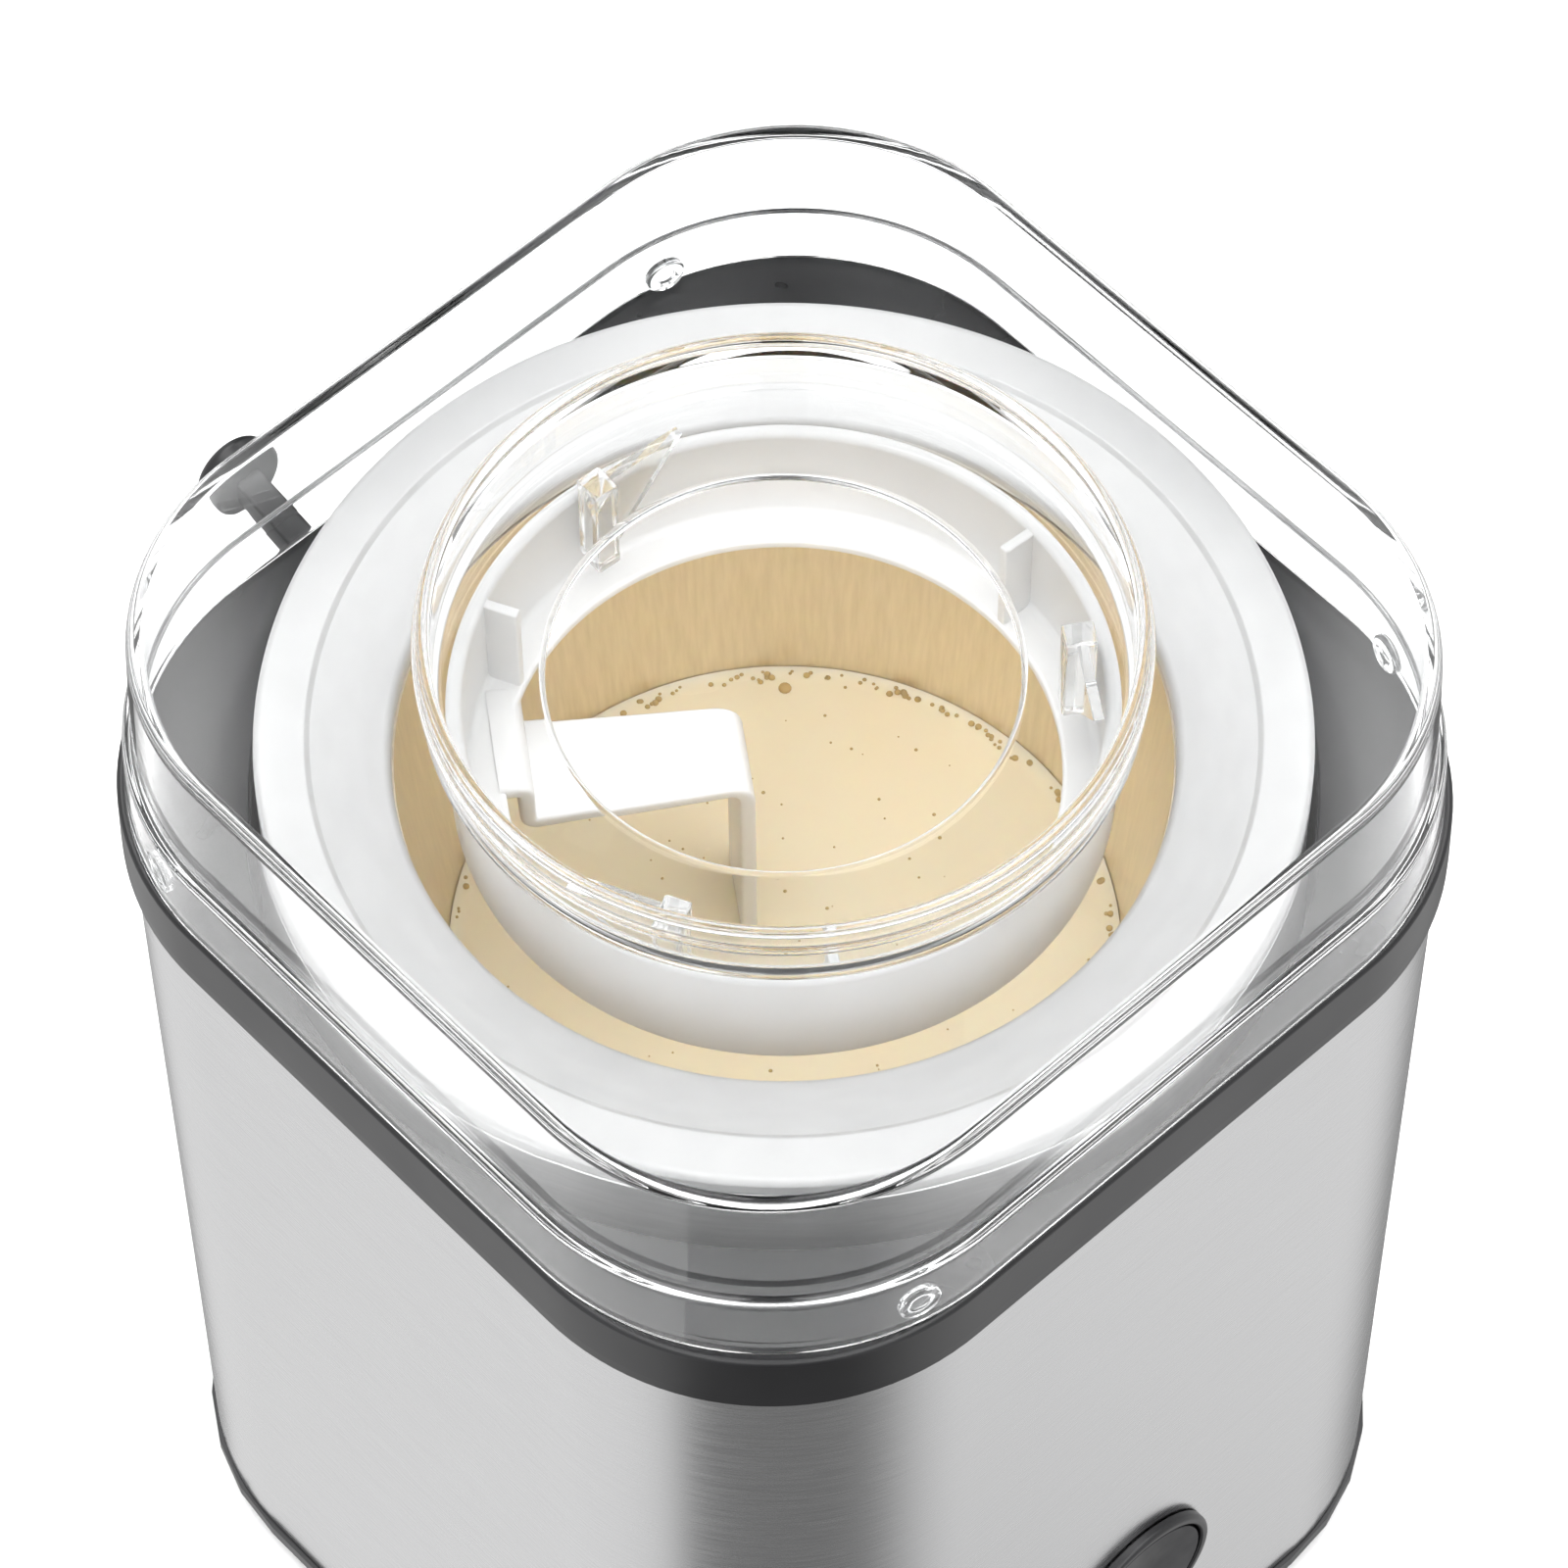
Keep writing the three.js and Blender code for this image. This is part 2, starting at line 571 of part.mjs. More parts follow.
function cordGland() {
  const face = SLEEVE_WIDTH / 2;
  return turnedAlongY([
    [3.8, face - 10], [10, face - 10], [10, face - 1.6], [7.6, face - 1.6], [7.6, face + GAP],
    [10.5, face + GAP], [10.5, face + 2], [6, face + 3.5], [3.8, face + 3.5],
  ], HOOK_X, GLAND_Z, 20);
}

// Hook that the lead is wound on: a sloping neck with a round tab at its end. The tab
// is above the neck's root if `way` is 1, and below it if `way` is -1.
function cordHook(root, from, way) {
  const slope = [[from, -3.5], [from, 3.5], [HOOK_Y + 1, 7.5], [HOOK_Y + 1, 1.5]];
  const neck = new THREE.ExtrudeGeometry(
    new THREE.Shape(slope.map(([y, rise]) => new THREE.Vector2(y, root + way * rise))),
    { depth: 6, bevelEnabled: false },
  );
  neck.applyMatrix4(SIDEWAYS);
  const tab = barrel(HOOK_RADIUS, HOOK_Y, HOOK_Y + HOOK_THICK, HOOK_X,
    root + way * HOOK_OFFSET, 24);
  return join(tab, solid(neck.translate(HOOK_X - 3, 0, 0)));
}

function terminalBlock() {
  const block = box([-70, 20, PAN_BOTTOM + PAN_FLOOR + GAP], [-50, 60, 22]);
  const slots = [28, 40, 52].map((y) => cylinder(2.5, 16, 23, -60, y, 12));
  return cut(block, ...slots);
}

// Leads between the switch, the terminal block and the motor.
const LEADS = {
  switch_lead: [[-8, FACE + 32.6, 54], [-8, FACE + 38, 54], [-22, -54, 40], [-52, -36, 24],
    [-60, 0, 16], [-60, 19.4, 14]],
  motor_lead: [[-49.4, 48, 12], [-20, 48, 14], [6, 28, 18], [26.2, 12.7, 24]],
};

// --------------------------------------------------------------- the machine
add("steel_sleeve", steelSleeve(), brushedSteel);
add("top_rim", topRim(), blackPlastic);
add("bowl_well", bowlWell(), greyPlastic);
add("base_pan", basePan(), blackPlastic);
cornerPlaces(ROD_REACH).forEach((place, i) => {
  const low = PAN_BOTTOM + PAN_FLOOR + GAP;
  add(`tie_rod_${i + 1}`, rod(4, low, RIM_TOP - RIM_PLATE - GAP, place, false), plainSteel);
  add(`base_screw_${i + 1}`, screw(PAN_BOTTOM - GAP, low + 6, place), plainSteel);
});
cornerPlaces(FOOT_REACH).forEach((place, i) => add(`foot_${i + 1}`, rubberFoot(place), rubber));

POST_PLACES.forEach((place, i) => {
  const low = PAN_BOTTOM + PAN_FLOOR + GAP;
  add(`plate_post_${i + 1}`, rod(4.5, low, PLATE_Z - GAP, place, true), plainSteel);
  add(`plate_screw_${i + 1}`, screw(PLATE_Z + PLATE_THICK + GAP, PLATE_Z - 7, place), plainSteel);
});
add("gear_plate", gearPlate(), plainSteel);
add("motor_can", motorCan(), plainSteel);
motorScrewPlaces.forEach((place, i) =>
  add(`motor_screw_${i + 1}`, screw(PLATE_Z + PLATE_THICK + GAP, PLATE_Z - 7, place), plainSteel));
const shaftBore = SHAFT_RADIUS + BORE_GAP;
add("lower_bearing", bush(shaftBore, 11.6, 16, PLATE_Z - 4, PLATE_Z - GAP, PLATE_Z + 3.4), bronze);
add("upper_bearing",
  bush(shaftBore, 14.6, 20, WELL_BOTTOM - 4, WELL_BOTTOM - GAP, WELL_BOTTOM + 3.2), bronze);
add("drive_shaft", cylinder(SHAFT_RADIUS, PLATE_Z - 10, BOWL_BOTTOM + 4), plainSteel);
add("output_gear", outputGear(), whitePlastic);
add("drive_hub", driveHub(), whitePlastic);
add("motor_shaft",
  cylinder(MOTOR_SHAFT_RADIUS, 50.5, GEAR_Z + GEAR_THICK + 1, MOTOR_X, 0, 16), plainSteel);
add("pinion", pinion(), bronze);

add("switch_body", switchBody(), greyPlastic);
add("button_bezel", buttonBezel(), blackPlastic);
add("button_cap", buttonCap(), blackPlastic);
add("cord_gland", cordGland(), rubber);
add("cord_hook_upper", cordHook(UPPER_HOOK_Z, RIM_WIDTH / 2 + GAP, 1), blackPlastic);
add("cord_hook_lower", cordHook(LOWER_HOOK_Z, SLEEVE_WIDTH / 2 + GAP, -1), blackPlastic);
add("terminal_block", terminalBlock(), whitePlastic);
for (const [name, points] of Object.entries(LEADS)) add(name, bar(points, 1.6, 12), leadGrey);

add("bowl_outer_shell", outerShell(), satinMetal);
add("bowl_inner_liner", innerLiner(), satinMetal);
add("bowl_rim", bowlRim(), satinMetal);
add("bowl_coolant", coolant(), coolantBlue);
add("bowl_socket", bowlSocket(), whitePlastic);

add("lid", clearLid(), clearPlastic);
add("paddle", paddle(), whitePlastic);

// The box runs from the rim's front face to the back of the cord hooks.
const front = -RIM_WIDTH / 2;
const rear = HOOK_Y + HOOK_THICK;
machine.position.y = -(front + rear) / 2;

export default machine;
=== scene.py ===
"""Looks of the ice cream maker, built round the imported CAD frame. Metres, +Z up."""

import json
import math
import random

import bmesh
import bpy
from mathutils import Matrix, Vector


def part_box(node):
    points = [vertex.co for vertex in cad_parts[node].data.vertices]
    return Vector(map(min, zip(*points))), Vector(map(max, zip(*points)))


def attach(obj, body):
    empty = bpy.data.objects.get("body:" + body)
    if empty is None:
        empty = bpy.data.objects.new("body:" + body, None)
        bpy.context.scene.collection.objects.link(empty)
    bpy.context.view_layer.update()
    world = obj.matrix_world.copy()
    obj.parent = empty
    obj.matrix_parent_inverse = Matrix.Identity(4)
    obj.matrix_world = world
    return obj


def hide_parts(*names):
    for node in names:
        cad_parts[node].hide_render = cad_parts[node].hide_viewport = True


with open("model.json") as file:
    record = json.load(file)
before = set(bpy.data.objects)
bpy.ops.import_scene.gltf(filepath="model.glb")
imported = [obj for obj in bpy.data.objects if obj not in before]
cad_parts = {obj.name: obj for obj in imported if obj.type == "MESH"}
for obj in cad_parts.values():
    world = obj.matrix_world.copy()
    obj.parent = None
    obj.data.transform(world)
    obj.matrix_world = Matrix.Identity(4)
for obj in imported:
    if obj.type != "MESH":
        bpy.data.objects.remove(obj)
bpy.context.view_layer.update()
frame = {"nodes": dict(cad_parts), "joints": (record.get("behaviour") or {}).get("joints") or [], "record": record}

MM = 0.001
TAU = 2 * math.pi
AROUND = 256  # points round a moulded loop
TINY = 0.01 * MM  # the radius at which a turned solid is closed on its axis

# ------------------------------------------------------- places from the frame
joints = {joint["name"]: joint for joint in frame["joints"]}
AXIS_X, AXIS_Y = joints["drive_spin"]["pos_m"][:2]  # the drive axis
AXIS = Vector((AXIS_X, AXIS_Y, 0))


def low(node):
    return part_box(node)[0]


def high(node):
    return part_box(node)[1]


def half_width(node):
    return (high(node).x - low(node).x) / 2


# ---------------------------------------------------------------- mesh helpers
def mesh_object(name, points, faces, smooth_angle=35):
    """A mesh object with smooth faces and edges sharper than smooth_angle kept hard."""
    mesh = bpy.data.meshes.new(name)
    mesh.from_pydata(points, [], faces)
    obj = bpy.data.objects.new(name, mesh)
    bpy.context.scene.collection.objects.link(obj)
    tidy(obj, smooth_angle)
    return obj


def tidy(obj, smooth_angle=35):
    """Merges doubles, turns the faces outwards and marks the hard edges."""
    work = bmesh.new()
    work.from_mesh(obj.data)
    bmesh.ops.remove_doubles(work, verts=work.verts, dist=2e-6)
    bmesh.ops.dissolve_degenerate(work, edges=work.edges, dist=1e-7)
    bmesh.ops.recalc_face_normals(work, faces=work.faces)
    for face in work.faces:
        face.smooth = True
    for edge in work.edges:
        sharp = len(edge.link_faces) == 2 and edge.calc_face_angle(0) > math.radians(smooth_angle)
        edge.smooth = not sharp
    work.to_mesh(obj.data)
    work.free()


def square_radius(angle, half, reach):
    """Distance from the centre to a round-cornered square. Its corner arcs turn about
    (reach, reach)."""
    x, y = abs(math.cos(angle)), abs(math.sin(angle))
    if x < y:
        x, y = y, x
    if half * y <= reach * x:
        return half / x
    corner = half - reach
    along = reach * (x + y)
    return along + math.sqrt(max(along * along - 2 * reach * reach + corner * corner, 0))


def ring(kind, size, z, reach=0.0, count=AROUND):
    """A level loop about the drive axis: kind "c" is a circle, "s" a round-cornered square."""
    loop = []
    for step in range(count):
        angle = TAU * step / count
        r = size if kind == "c" else square_radius(angle, size, reach)
        loop.append((AXIS_X + r * math.cos(angle), AXIS_Y + r * math.sin(angle), z))
    return loop


def skin(loops, closed=True):
    """Points and faces through a list of loops, closed on itself or capped at both ends."""
    count = len(loops[0])
    points = [point for loop in loops for point in loop]
    faces = []
    pairs = [(i, i + 1) for i in range(len(loops) - 1)] + ([(len(loops) - 1, 0)] if closed else [])
    for a, b in pairs:
        for i in range(count):
            j = (i + 1) % count
            faces.append((a * count + i, a * count + j, b * count + j, b * count + i))
    if not closed:
        faces.append(tuple(reversed(range(count))))
        faces.append(tuple(range((len(loops) - 1) * count, len(loops) * count)))
    return points, faces


def rounded(corners, steps=5):
    """Rounds a closed outline of (u, z, radius) corners. Each arc is led in and out by a short
    straight."""
    count = len(corners)
    outline = []
    for i, (u, z, radius) in enumerate(corners):
        here = Vector((u, z))
        before = Vector(corners[i - 1][:2]) - here
        after = Vector(corners[(i + 1) % count][:2]) - here
        turn = before.angle(after)
        if radius <= 0 or turn > math.pi - 0.02:
            outline.append((u, z))
            continue
        reach = radius / math.tan(turn / 2)
        reach = min(reach, 0.45 * before.length, 0.45 * after.length)
        radius = reach * math.tan(turn / 2)
        start, end = here + before.normalized() * reach, here + after.normalized() * reach
        centre = here + (before.normalized() + after.normalized()).normalized() * (
            radius / math.sin(turn / 2))
        lead = min(0.12 * MM, 0.05 * min(before.length, after.length))
        outline.append(tuple(start + before.normalized() * lead))
        first, last = start - centre, end - centre
        sweep = first.angle_signed(last)
        for step in range(steps + 1):
            spun = Matrix.Rotation(-sweep * step / steps, 2) @ first
            outline.append(tuple(centre + spun))
        outline.append(tuple(end + after.normalized() * lead))
    return outline


def turned(name, corners, steps=5, count=AROUND, smooth_angle=40):
    """A closed outline of (radius, z, rounding) corners turned about the drive axis."""
    loops = [ring("c", r, z, count=count) for r, z in rounded(corners, steps)]
    return mesh_object(name, *skin(loops), smooth_angle)


def turned_solid(name, profile, count=AROUND, smooth_angle=40):
    """A profile of (radius, z) points that starts and ends on the axis, turned about it."""
    points = [(AXIS_X, AXIS_Y, profile[0][1])]
    for r, z in profile[1:-1]:
        points += ring("c", r, z, count=count)
    points.append((AXIS_X, AXIS_Y, profile[-1][1]))
    last = len(points) - 1
    levels = len(profile) - 2
    faces = []
    for i in range(count):
        j = (i + 1) % count
        faces.append((0, 1 + j, 1 + i))
        faces.append((last, 1 + (levels - 1) * count + i, 1 + (levels - 1) * count + j))
        for level in range(levels - 1):
            a, b = 1 + level * count, 1 + (level + 1) * count
            faces.append((a + i, a + j, b + j, b + i))
    return mesh_object(name, points, faces, smooth_angle)


def moved(obj, matrix):
    obj.data.transform(matrix)
    obj.data.update()
    return obj


def joined(name, objects):
    """One object from several pieces' meshes."""
    points, faces = [], []
    for other in objects:
        start = len(points)
        points += [tuple(vertex.co) for vertex in other.data.vertices]
        faces += [tuple(start + i for i in polygon.vertices) for polygon in other.data.polygons]
        bpy.data.objects.remove(other)
    return mesh_object(name, points, faces)


def boolean(obj, others, operation):
    """Joins or cuts obj by the others with the exact solver, and removes them."""
    for other in others:
        modifier = obj.modifiers.new("cut", "BOOLEAN")
        modifier.operation = operation
        modifier.solver = "EXACT"
        modifier.object = other
        apply_modifiers(obj)
        bpy.data.objects.remove(other)
    tidy(obj)
    return obj


def apply_modifiers(obj):
    evaluated = obj.evaluated_get(bpy.context.evaluated_depsgraph_get())
    mesh = bpy.data.meshes.new_from_object(evaluated)
    obj.modifiers.clear()
    old = obj.data
    obj.data = mesh
    bpy.data.meshes.remove(old)


def soften(obj, width, segments=3):
    """Rounds all of an object's edges."""
    work = bmesh.new()
    work.from_mesh(obj.data)
    bmesh.ops.bevel(work, geom=work.edges, offset=width, segments=segments, profile=0.5,
                    affect="EDGES")
    work.to_mesh(obj.data)
    work.free()
    tidy(obj)


def block(name, lowest, highest, bevel=0.0, segments=3):
    """A box between two corners with rounded edges."""
    work = bmesh.new()
    size = Vector(highest) - Vector(lowest)
    centre = (Vector(highest) + Vector(lowest)) / 2
    bmesh.ops.create_cube(work, size=1, matrix=Matrix.Translation(centre) @ Matrix.Diagonal(
        (size.x, size.y, size.z, 1)))
    if bevel:
        bmesh.ops.bevel(work, geom=work.edges, offset=bevel, segments=segments, profile=0.5,
                        affect="EDGES")
    mesh = bpy.data.meshes.new(name)
    work.to_mesh(mesh)
    work.free()
    obj = bpy.data.objects.new(name, mesh)
    bpy.context.scene.collection.objects.link(obj)
    tidy(obj)
    return obj


# --------------------------------------------------------------- shader helpers
class Shader:
    """A material with a Principled shader and short ways to feed it."""

    def __init__(self, name, **values):
        self.material = bpy.data.materials.new(name)
        self.material.use_nodes = True
        self.tree = self.material.node_tree
        self.main = self.tree.nodes["Principled BSDF"]
        for key, value in values.items():
            self.main.inputs[key.replace("_", " ")].default_value = value

    def node(self, kind, **values):
        made = self.tree.nodes.new(kind)
        for key, value in values.items():
            made.inputs[key.replace("_", " ")].default_value = value
        return made

    def link(self, output, target):
        self.tree.links.new(output, target)

    def coordinates(self, scale=(1, 1, 1)):
        """The object's own coordinates in metres, scaled."""
        place = self.node("ShaderNodeTexCoord")
        mapping = self.node("ShaderNodeMapping")
        mapping.inputs["Scale"].default_value = scale
        self.link(place.outputs["Object"], mapping.inputs["Vector"])
        return mapping.outputs["Vector"]

    def noise(self, scale, stretch=(1, 1, 1), detail=3.0, roughness=0.5):
        made = self.node("ShaderNodeTexNoise", Scale=scale, Detail=detail, Roughness=roughness)
        self.link(self.coordinates(stretch), made.inputs["Vector"])
        return made.outputs["Fac"]

    def ramp(self, source, low_value, high_value, start=0.3, end=0.7):
        """Maps a 0 to 1 texture to a range of values."""
        made = self.node("ShaderNodeMapRange")
        made.inputs["From Min"].default_value = start
        made.inputs["From Max"].default_value = end
        made.inputs["To Min"].default_value = low_value
        made.inputs["To Max"].default_value = high_value
        self.link(source, made.inputs["Value"])
        return made.outputs["Result"]

    def tint(self, source, dark, light, start=0.3, end=0.7):
        """Colours a texture between two colours and feeds the base colour."""
        made = self.node("ShaderNodeValToRGB")
        made.color_ramp.elements[0].position = start
        made.color_ramp.elements[0].color = (*dark, 1)
        made.color_ramp.elements[1].position = end
        made.color_ramp.elements[1].color = (*light, 1)
        self.link(source, made.inputs["Fac"])
        self.link(made.outputs["Color"], self.main.inputs["Base Color"])

    def bump(self, source, strength, distance):
        made = self.node("ShaderNodeBump", Strength=strength, Distance=distance)
        self.link(source, made.inputs["Height"])
        self.link(made.outputs["Normal"], self.main.inputs["Normal"])

    def rough(self, source, low_value, high_value):
        self.link(self.ramp(source, low_value, high_value), self.main.inputs["Roughness"])


def grey(value, blue=0.0):
    return (value, value, value + blue)


def brushed_steel():
    """Horizontally brushed stainless steel: fine streaks round the sleeve."""
    shader = Shader("brushed_steel_sheet", Metallic=1.0, Anisotropic=0.8)
    streaks = shader.noise(60, (1.4, 1.4, 60), detail=6, roughness=0.65)
    shader.tint(streaks, grey(0.66, 0.005), grey(0.80, 0.005))
    shader.rough(streaks, 0.2, 0.3)
    shader.bump(streaks, 0.10, 0.02 * MM)
    tangent = shader.node("ShaderNodeTangent")
    tangent.direction_type = "RADIAL"
    tangent.axis = "Z"
    shader.link(tangent.outputs["Tangent"], shader.main.inputs["Tangent"])
    return shader.material


def satin_aluminium(name="satin_aluminium", dark=grey(0.74), light=grey(0.84),
                    rough=(0.3, 0.42), metallic=1.0, stretch=(1, 1, 8)):
    """Spun satin metal with a faint grain, round the part unless stretched upright."""
    shader = Shader(name, Metallic=metallic, Anisotropic=0.35)
    grain = shader.noise(90, stretch, detail=4)
    shader.tint(grain, dark, light)
    shader.rough(grain, *rough)
    shader.bump(grain, 0.05, 0.02 * MM)
    tangent = shader.node("ShaderNodeTangent")
    tangent.direction_type = "RADIAL"
    tangent.axis = "Z"
    shader.link(tangent.outputs["Tangent"], shader.main.inputs["Tangent"])
    return shader.material


def black_plastic():
    """Semi-gloss black moulding with a very fine texture."""
    shader = Shader("black_moulding", IOR=1.5)
    grain = shader.noise(1800, detail=2)
    cloud = shader.noise(30, detail=3)
    shader.tint(cloud, (0.012, 0.012, 0.013), (0.02, 0.02, 0.022))
    shader.rough(cloud, 0.26, 0.36)
    shader.bump(grain, 0.08, 0.03 * MM)
    return shader.material


def grey_plastic():
    shader = Shader("grey_moulding", IOR=1.5)
    grain = shader.noise(900, detail=2)
    shader.tint(grain, (0.045, 0.045, 0.05), (0.06, 0.06, 0.065))
    shader.rough(grain, 0.45, 0.6)
    shader.bump(grain, 0.15, 0.05 * MM)
    return shader.material


def white_plastic():
    """Satin white polypropylene that lets a little light in."""
    shader = Shader("white_moulding", IOR=1.49)
    shader.main.inputs["Subsurface Weight"].default_value = 0.15
    shader.main.inputs["Subsurface Radius"].default_value = (1.0, 0.95, 0.9)
    shader.main.inputs["Subsurface Scale"].default_value = 1.5 * MM
    cloud = shader.noise(60, detail=2)
    shader.tint(cloud, (0.80, 0.80, 0.797), (0.84, 0.84, 0.837))
    shader.rough(cloud, 0.3, 0.4)
    shader.bump(shader.noise(700, detail=2), 0.04, 0.03 * MM)
    return shader.material


def clear_plastic():
    """Polished clear styrene-acrylonitrile."""
    shader = Shader("clear_moulding", IOR=1.5)
    shader.main.inputs["Base Color"].default_value = (0.985, 0.99, 0.992, 1)
    shader.main.inputs["Transmission Weight"].default_value = 1.0
    haze = shader.noise(25, detail=3)
    shader.rough(haze, 0.0, 0.012)
    return shader.material


def rubber():
    shader = Shader("rubber_moulding", IOR=1.5)
    grain = shader.noise(1500, detail=3)
    shader.tint(grain, (0.014, 0.014, 0.014), (0.026, 0.026, 0.026))
    shader.rough(grain, 0.55, 0.75)
    shader.bump(grain, 0.2, 0.05 * MM)
    return shader.material


def plated_steel():
    shader = Shader("plated_steel", Metallic=1.0)
    cloud = shader.noise(200, detail=4)
    shader.tint(cloud, grey(0.5, 0.01), grey(0.6, 0.02))
    shader.rough(cloud, 0.25, 0.4)
    shader.bump(cloud, 0.05, 0.03 * MM)
    return shader.material


def sintered_bronze():
    shader = Shader("sintered_bronze", Metallic=1.0)
    grain = shader.noise(1200, detail=3)
    shader.tint(grain, (0.42, 0.27, 0.12), (0.6, 0.42, 0.2))
    shader.rough(grain, 0.35, 0.5)
    shader.bump(grain, 0.15, 0.04 * MM)
    return shader.material


def frozen_gel():
    shader = Shader("frozen_gel", IOR=1.33)
    cloud = shader.noise(50, detail=5)
    shader.tint(cloud, (0.4, 0.6, 0.7), (0.6, 0.78, 0.86))
    shader.rough(cloud, 0.2, 0.5)
    return shader.material


def lead_sleeve():
    shader = Shader("lead_sleeve", IOR=1.5)
    weave = shader.noise(800, detail=2)
    shader.tint(weave, (0.12, 0.12, 0.13), (0.24, 0.24, 0.25))
    shader.rough(weave, 0.5, 0.7)
    return shader.material


def spun_black():
    """Black button face turned on a lathe: its sheen fans out from the centre."""
    shader = Shader("spun_black", Metallic=0.85, Anisotropic=0.9)
    grain = shader.noise(300, detail=3)
    shader.tint(grain, (0.035, 0.035, 0.037), (0.05, 0.05, 0.053))
    shader.rough(grain, 0.28, 0.36)
    tangent = shader.node("ShaderNodeTangent")
    tangent.direction_type = "RADIAL"
    tangent.axis = "Y"
    shader.link(tangent.outputs["Tangent"], shader.main.inputs["Tangent"])
    return shader.material


def custard(name="custard_mix", dark=(0.92, 0.80, 0.58), light=(0.95, 0.85, 0.65)):
    """Pale yellow dairy mix, slightly translucent and wet."""
    shader = Shader(name, IOR=1.36)
    shader.main.inputs["Subsurface Weight"].default_value = 0.35
    shader.main.inputs["Subsurface Radius"].default_value = (1.0, 0.7, 0.35)
    shader.main.inputs["Subsurface Scale"].default_value = 2.5 * MM
    cloud = shader.noise(18, detail=3)
    shader.tint(cloud, dark, light)
    shader.rough(cloud, 0.18, 0.3)
    shader.bump(shader.noise(40, detail=2), 0.06, 0.4 * MM)
    return shader.material


MATERIALS = {
    "brushed_steel": brushed_steel(),
    "black_plastic": black_plastic(),
    "grey_plastic": grey_plastic(),
    "plain_steel": plated_steel(),
    "rubber": rubber(),
    "bronze": sintered_bronze(),
    "white_plastic": white_plastic(),
    "lead_sleeve": lead_sleeve(),
    "satin_metal": satin_aluminium(),
    "coolant": frozen_gel(),
    "clear_plastic": clear_plastic(),
}
# Painted reflection: the liner's golden base colour paints in the custard that its satin metal mirrors.
LINER_METAL_PAINTED_REFLECTION = satin_aluminium("liner_metal_painted_reflection", (0.74, 0.66, 0.53), (0.84, 0.76, 0.63),
                              (0.32, 0.45), stretch=(9, 9, 0.3))
RIM_METAL = satin_aluminium("rim_metal", grey(0.74), grey(0.80), (0.5, 0.6), metallic=0.55)
SPUN_BLACK = spun_black()
CUSTARD = custard()
# Painted shade: the bubbles get a dark brown far below the mix's own colour, standing in for the shade at their
# rims.
FROTH_PAINTED_SHADE = custard("froth_painted_shade", (0.50, 0.33, 0.13), (0.66, 0.47, 0.22))


def paint_cad_nodes():
    slots = {part["node"]: part["material_slot"] for part in frame["record"]["subparts"]}
    for name, node in frame["nodes"].items():
        node.data.materials.clear()
        node.data.materials.append(MATERIALS[slots[name]])


def place(obj, body, slot, *nodes, material=None):
    """Finishes a piece: its material, taken from the slot unless one is given, its body and the CAD nodes that it
    stands for.
    """
    obj.data.materials.clear()
    obj.data.materials.append(material or MATERIALS[slot])
    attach(obj, body)
    if nodes:
        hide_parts(*nodes)
    return obj


# ------------------------------------------------------------------------ lid
LID_WALL = 2.4 * MM
LID_REACH = 46 * MM  # the corner arcs turn about points this far along X and Y
COLLAR_RISE = 4 * MM
COLLAR_TOP = high("lid").z
LID_TOP = COLLAR_TOP - COLLAR_RISE
LID_BOTTOM = LID_TOP - 44.7 * MM
STEP_Z = LID_TOP - 28.5 * MM
WELL_FLOOR = LID_TOP - 10 * MM
LID_HALF = 98.2 * MM
SKIRT_HALF = half_width("lid")
COLLAR_RADIUS = 65.4 * MM
COLLAR_WALL = 2.6 * MM
FILL_RADIUS = 42.7 * MM
WALL_START = 80 * MM  # outlines are square outside this radius and round inside it


def clear_lid():
    floor_low = WELL_FLOOR - LID_WALL
    plate_low = LID_TOP - LID_WALL
    inner = LID_HALF - LID_WALL
    skirt_inner = SKIRT_HALF - LID_WALL
    bore = COLLAR_RADIUS - COLLAR_WALL
    corners = [
        (SKIRT_HALF, LID_BOTTOM, 0.9 * MM),
        (SKIRT_HALF - 0.8 * MM, STEP_Z - 0.3 * MM, 1.4 * MM),
        (LID_HALF + 1.2 * MM, STEP_Z + 0.4 * MM, 1.0 * MM),
        (LID_HALF, LID_TOP, 1.6 * MM),
        (COLLAR_RADIUS, LID_TOP, 0.8 * MM),
        (COLLAR_RADIUS, COLLAR_TOP, 1.2 * MM),
        (bore, COLLAR_TOP, 1.2 * MM),
        (bore, WELL_FLOOR, 1.5 * MM),
        (FILL_RADIUS, WELL_FLOOR, 1.1 * MM),
        (FILL_RADIUS, floor_low, 1.1 * MM),
        (COLLAR_RADIUS, floor_low, 1.5 * MM),
        (COLLAR_RADIUS, plate_low, 0.8 * MM),
        (inner, plate_low, 1.0 * MM),
        (inner + 1.1 * MM, STEP_Z - 1.9 * MM, 0.8 * MM),
        (skirt_inner - 0.7 * MM, STEP_Z - 2.7 * MM, 1.0 * MM),
        (skirt_inner, LID_BOTTOM, 0.9 * MM),
    ]
    loops = []
    for size, z in rounded(corners, steps=6):
        kind = "s" if size > WALL_START else "c"
        loops.append(ring(kind, size, z, LID_REACH))
    lid = mesh_object("lid_shell", *skin(loops), smooth_angle=60)
    return place(lid, "lid", "clear_plastic", "lid")


LUG_ANGLES = (86, -34, 206)
LUG_BOTTOM = WELL_FLOOR - LID_WALL - 22.5 * MM
TOUCH = 0.02 * MM  # air between two clear parts that meet
BOSS_TURN = -14.5  # degrees round a corner of the skirt
BOSS_HEIGHT = 4.7 * MM  # above the lid's lower edge


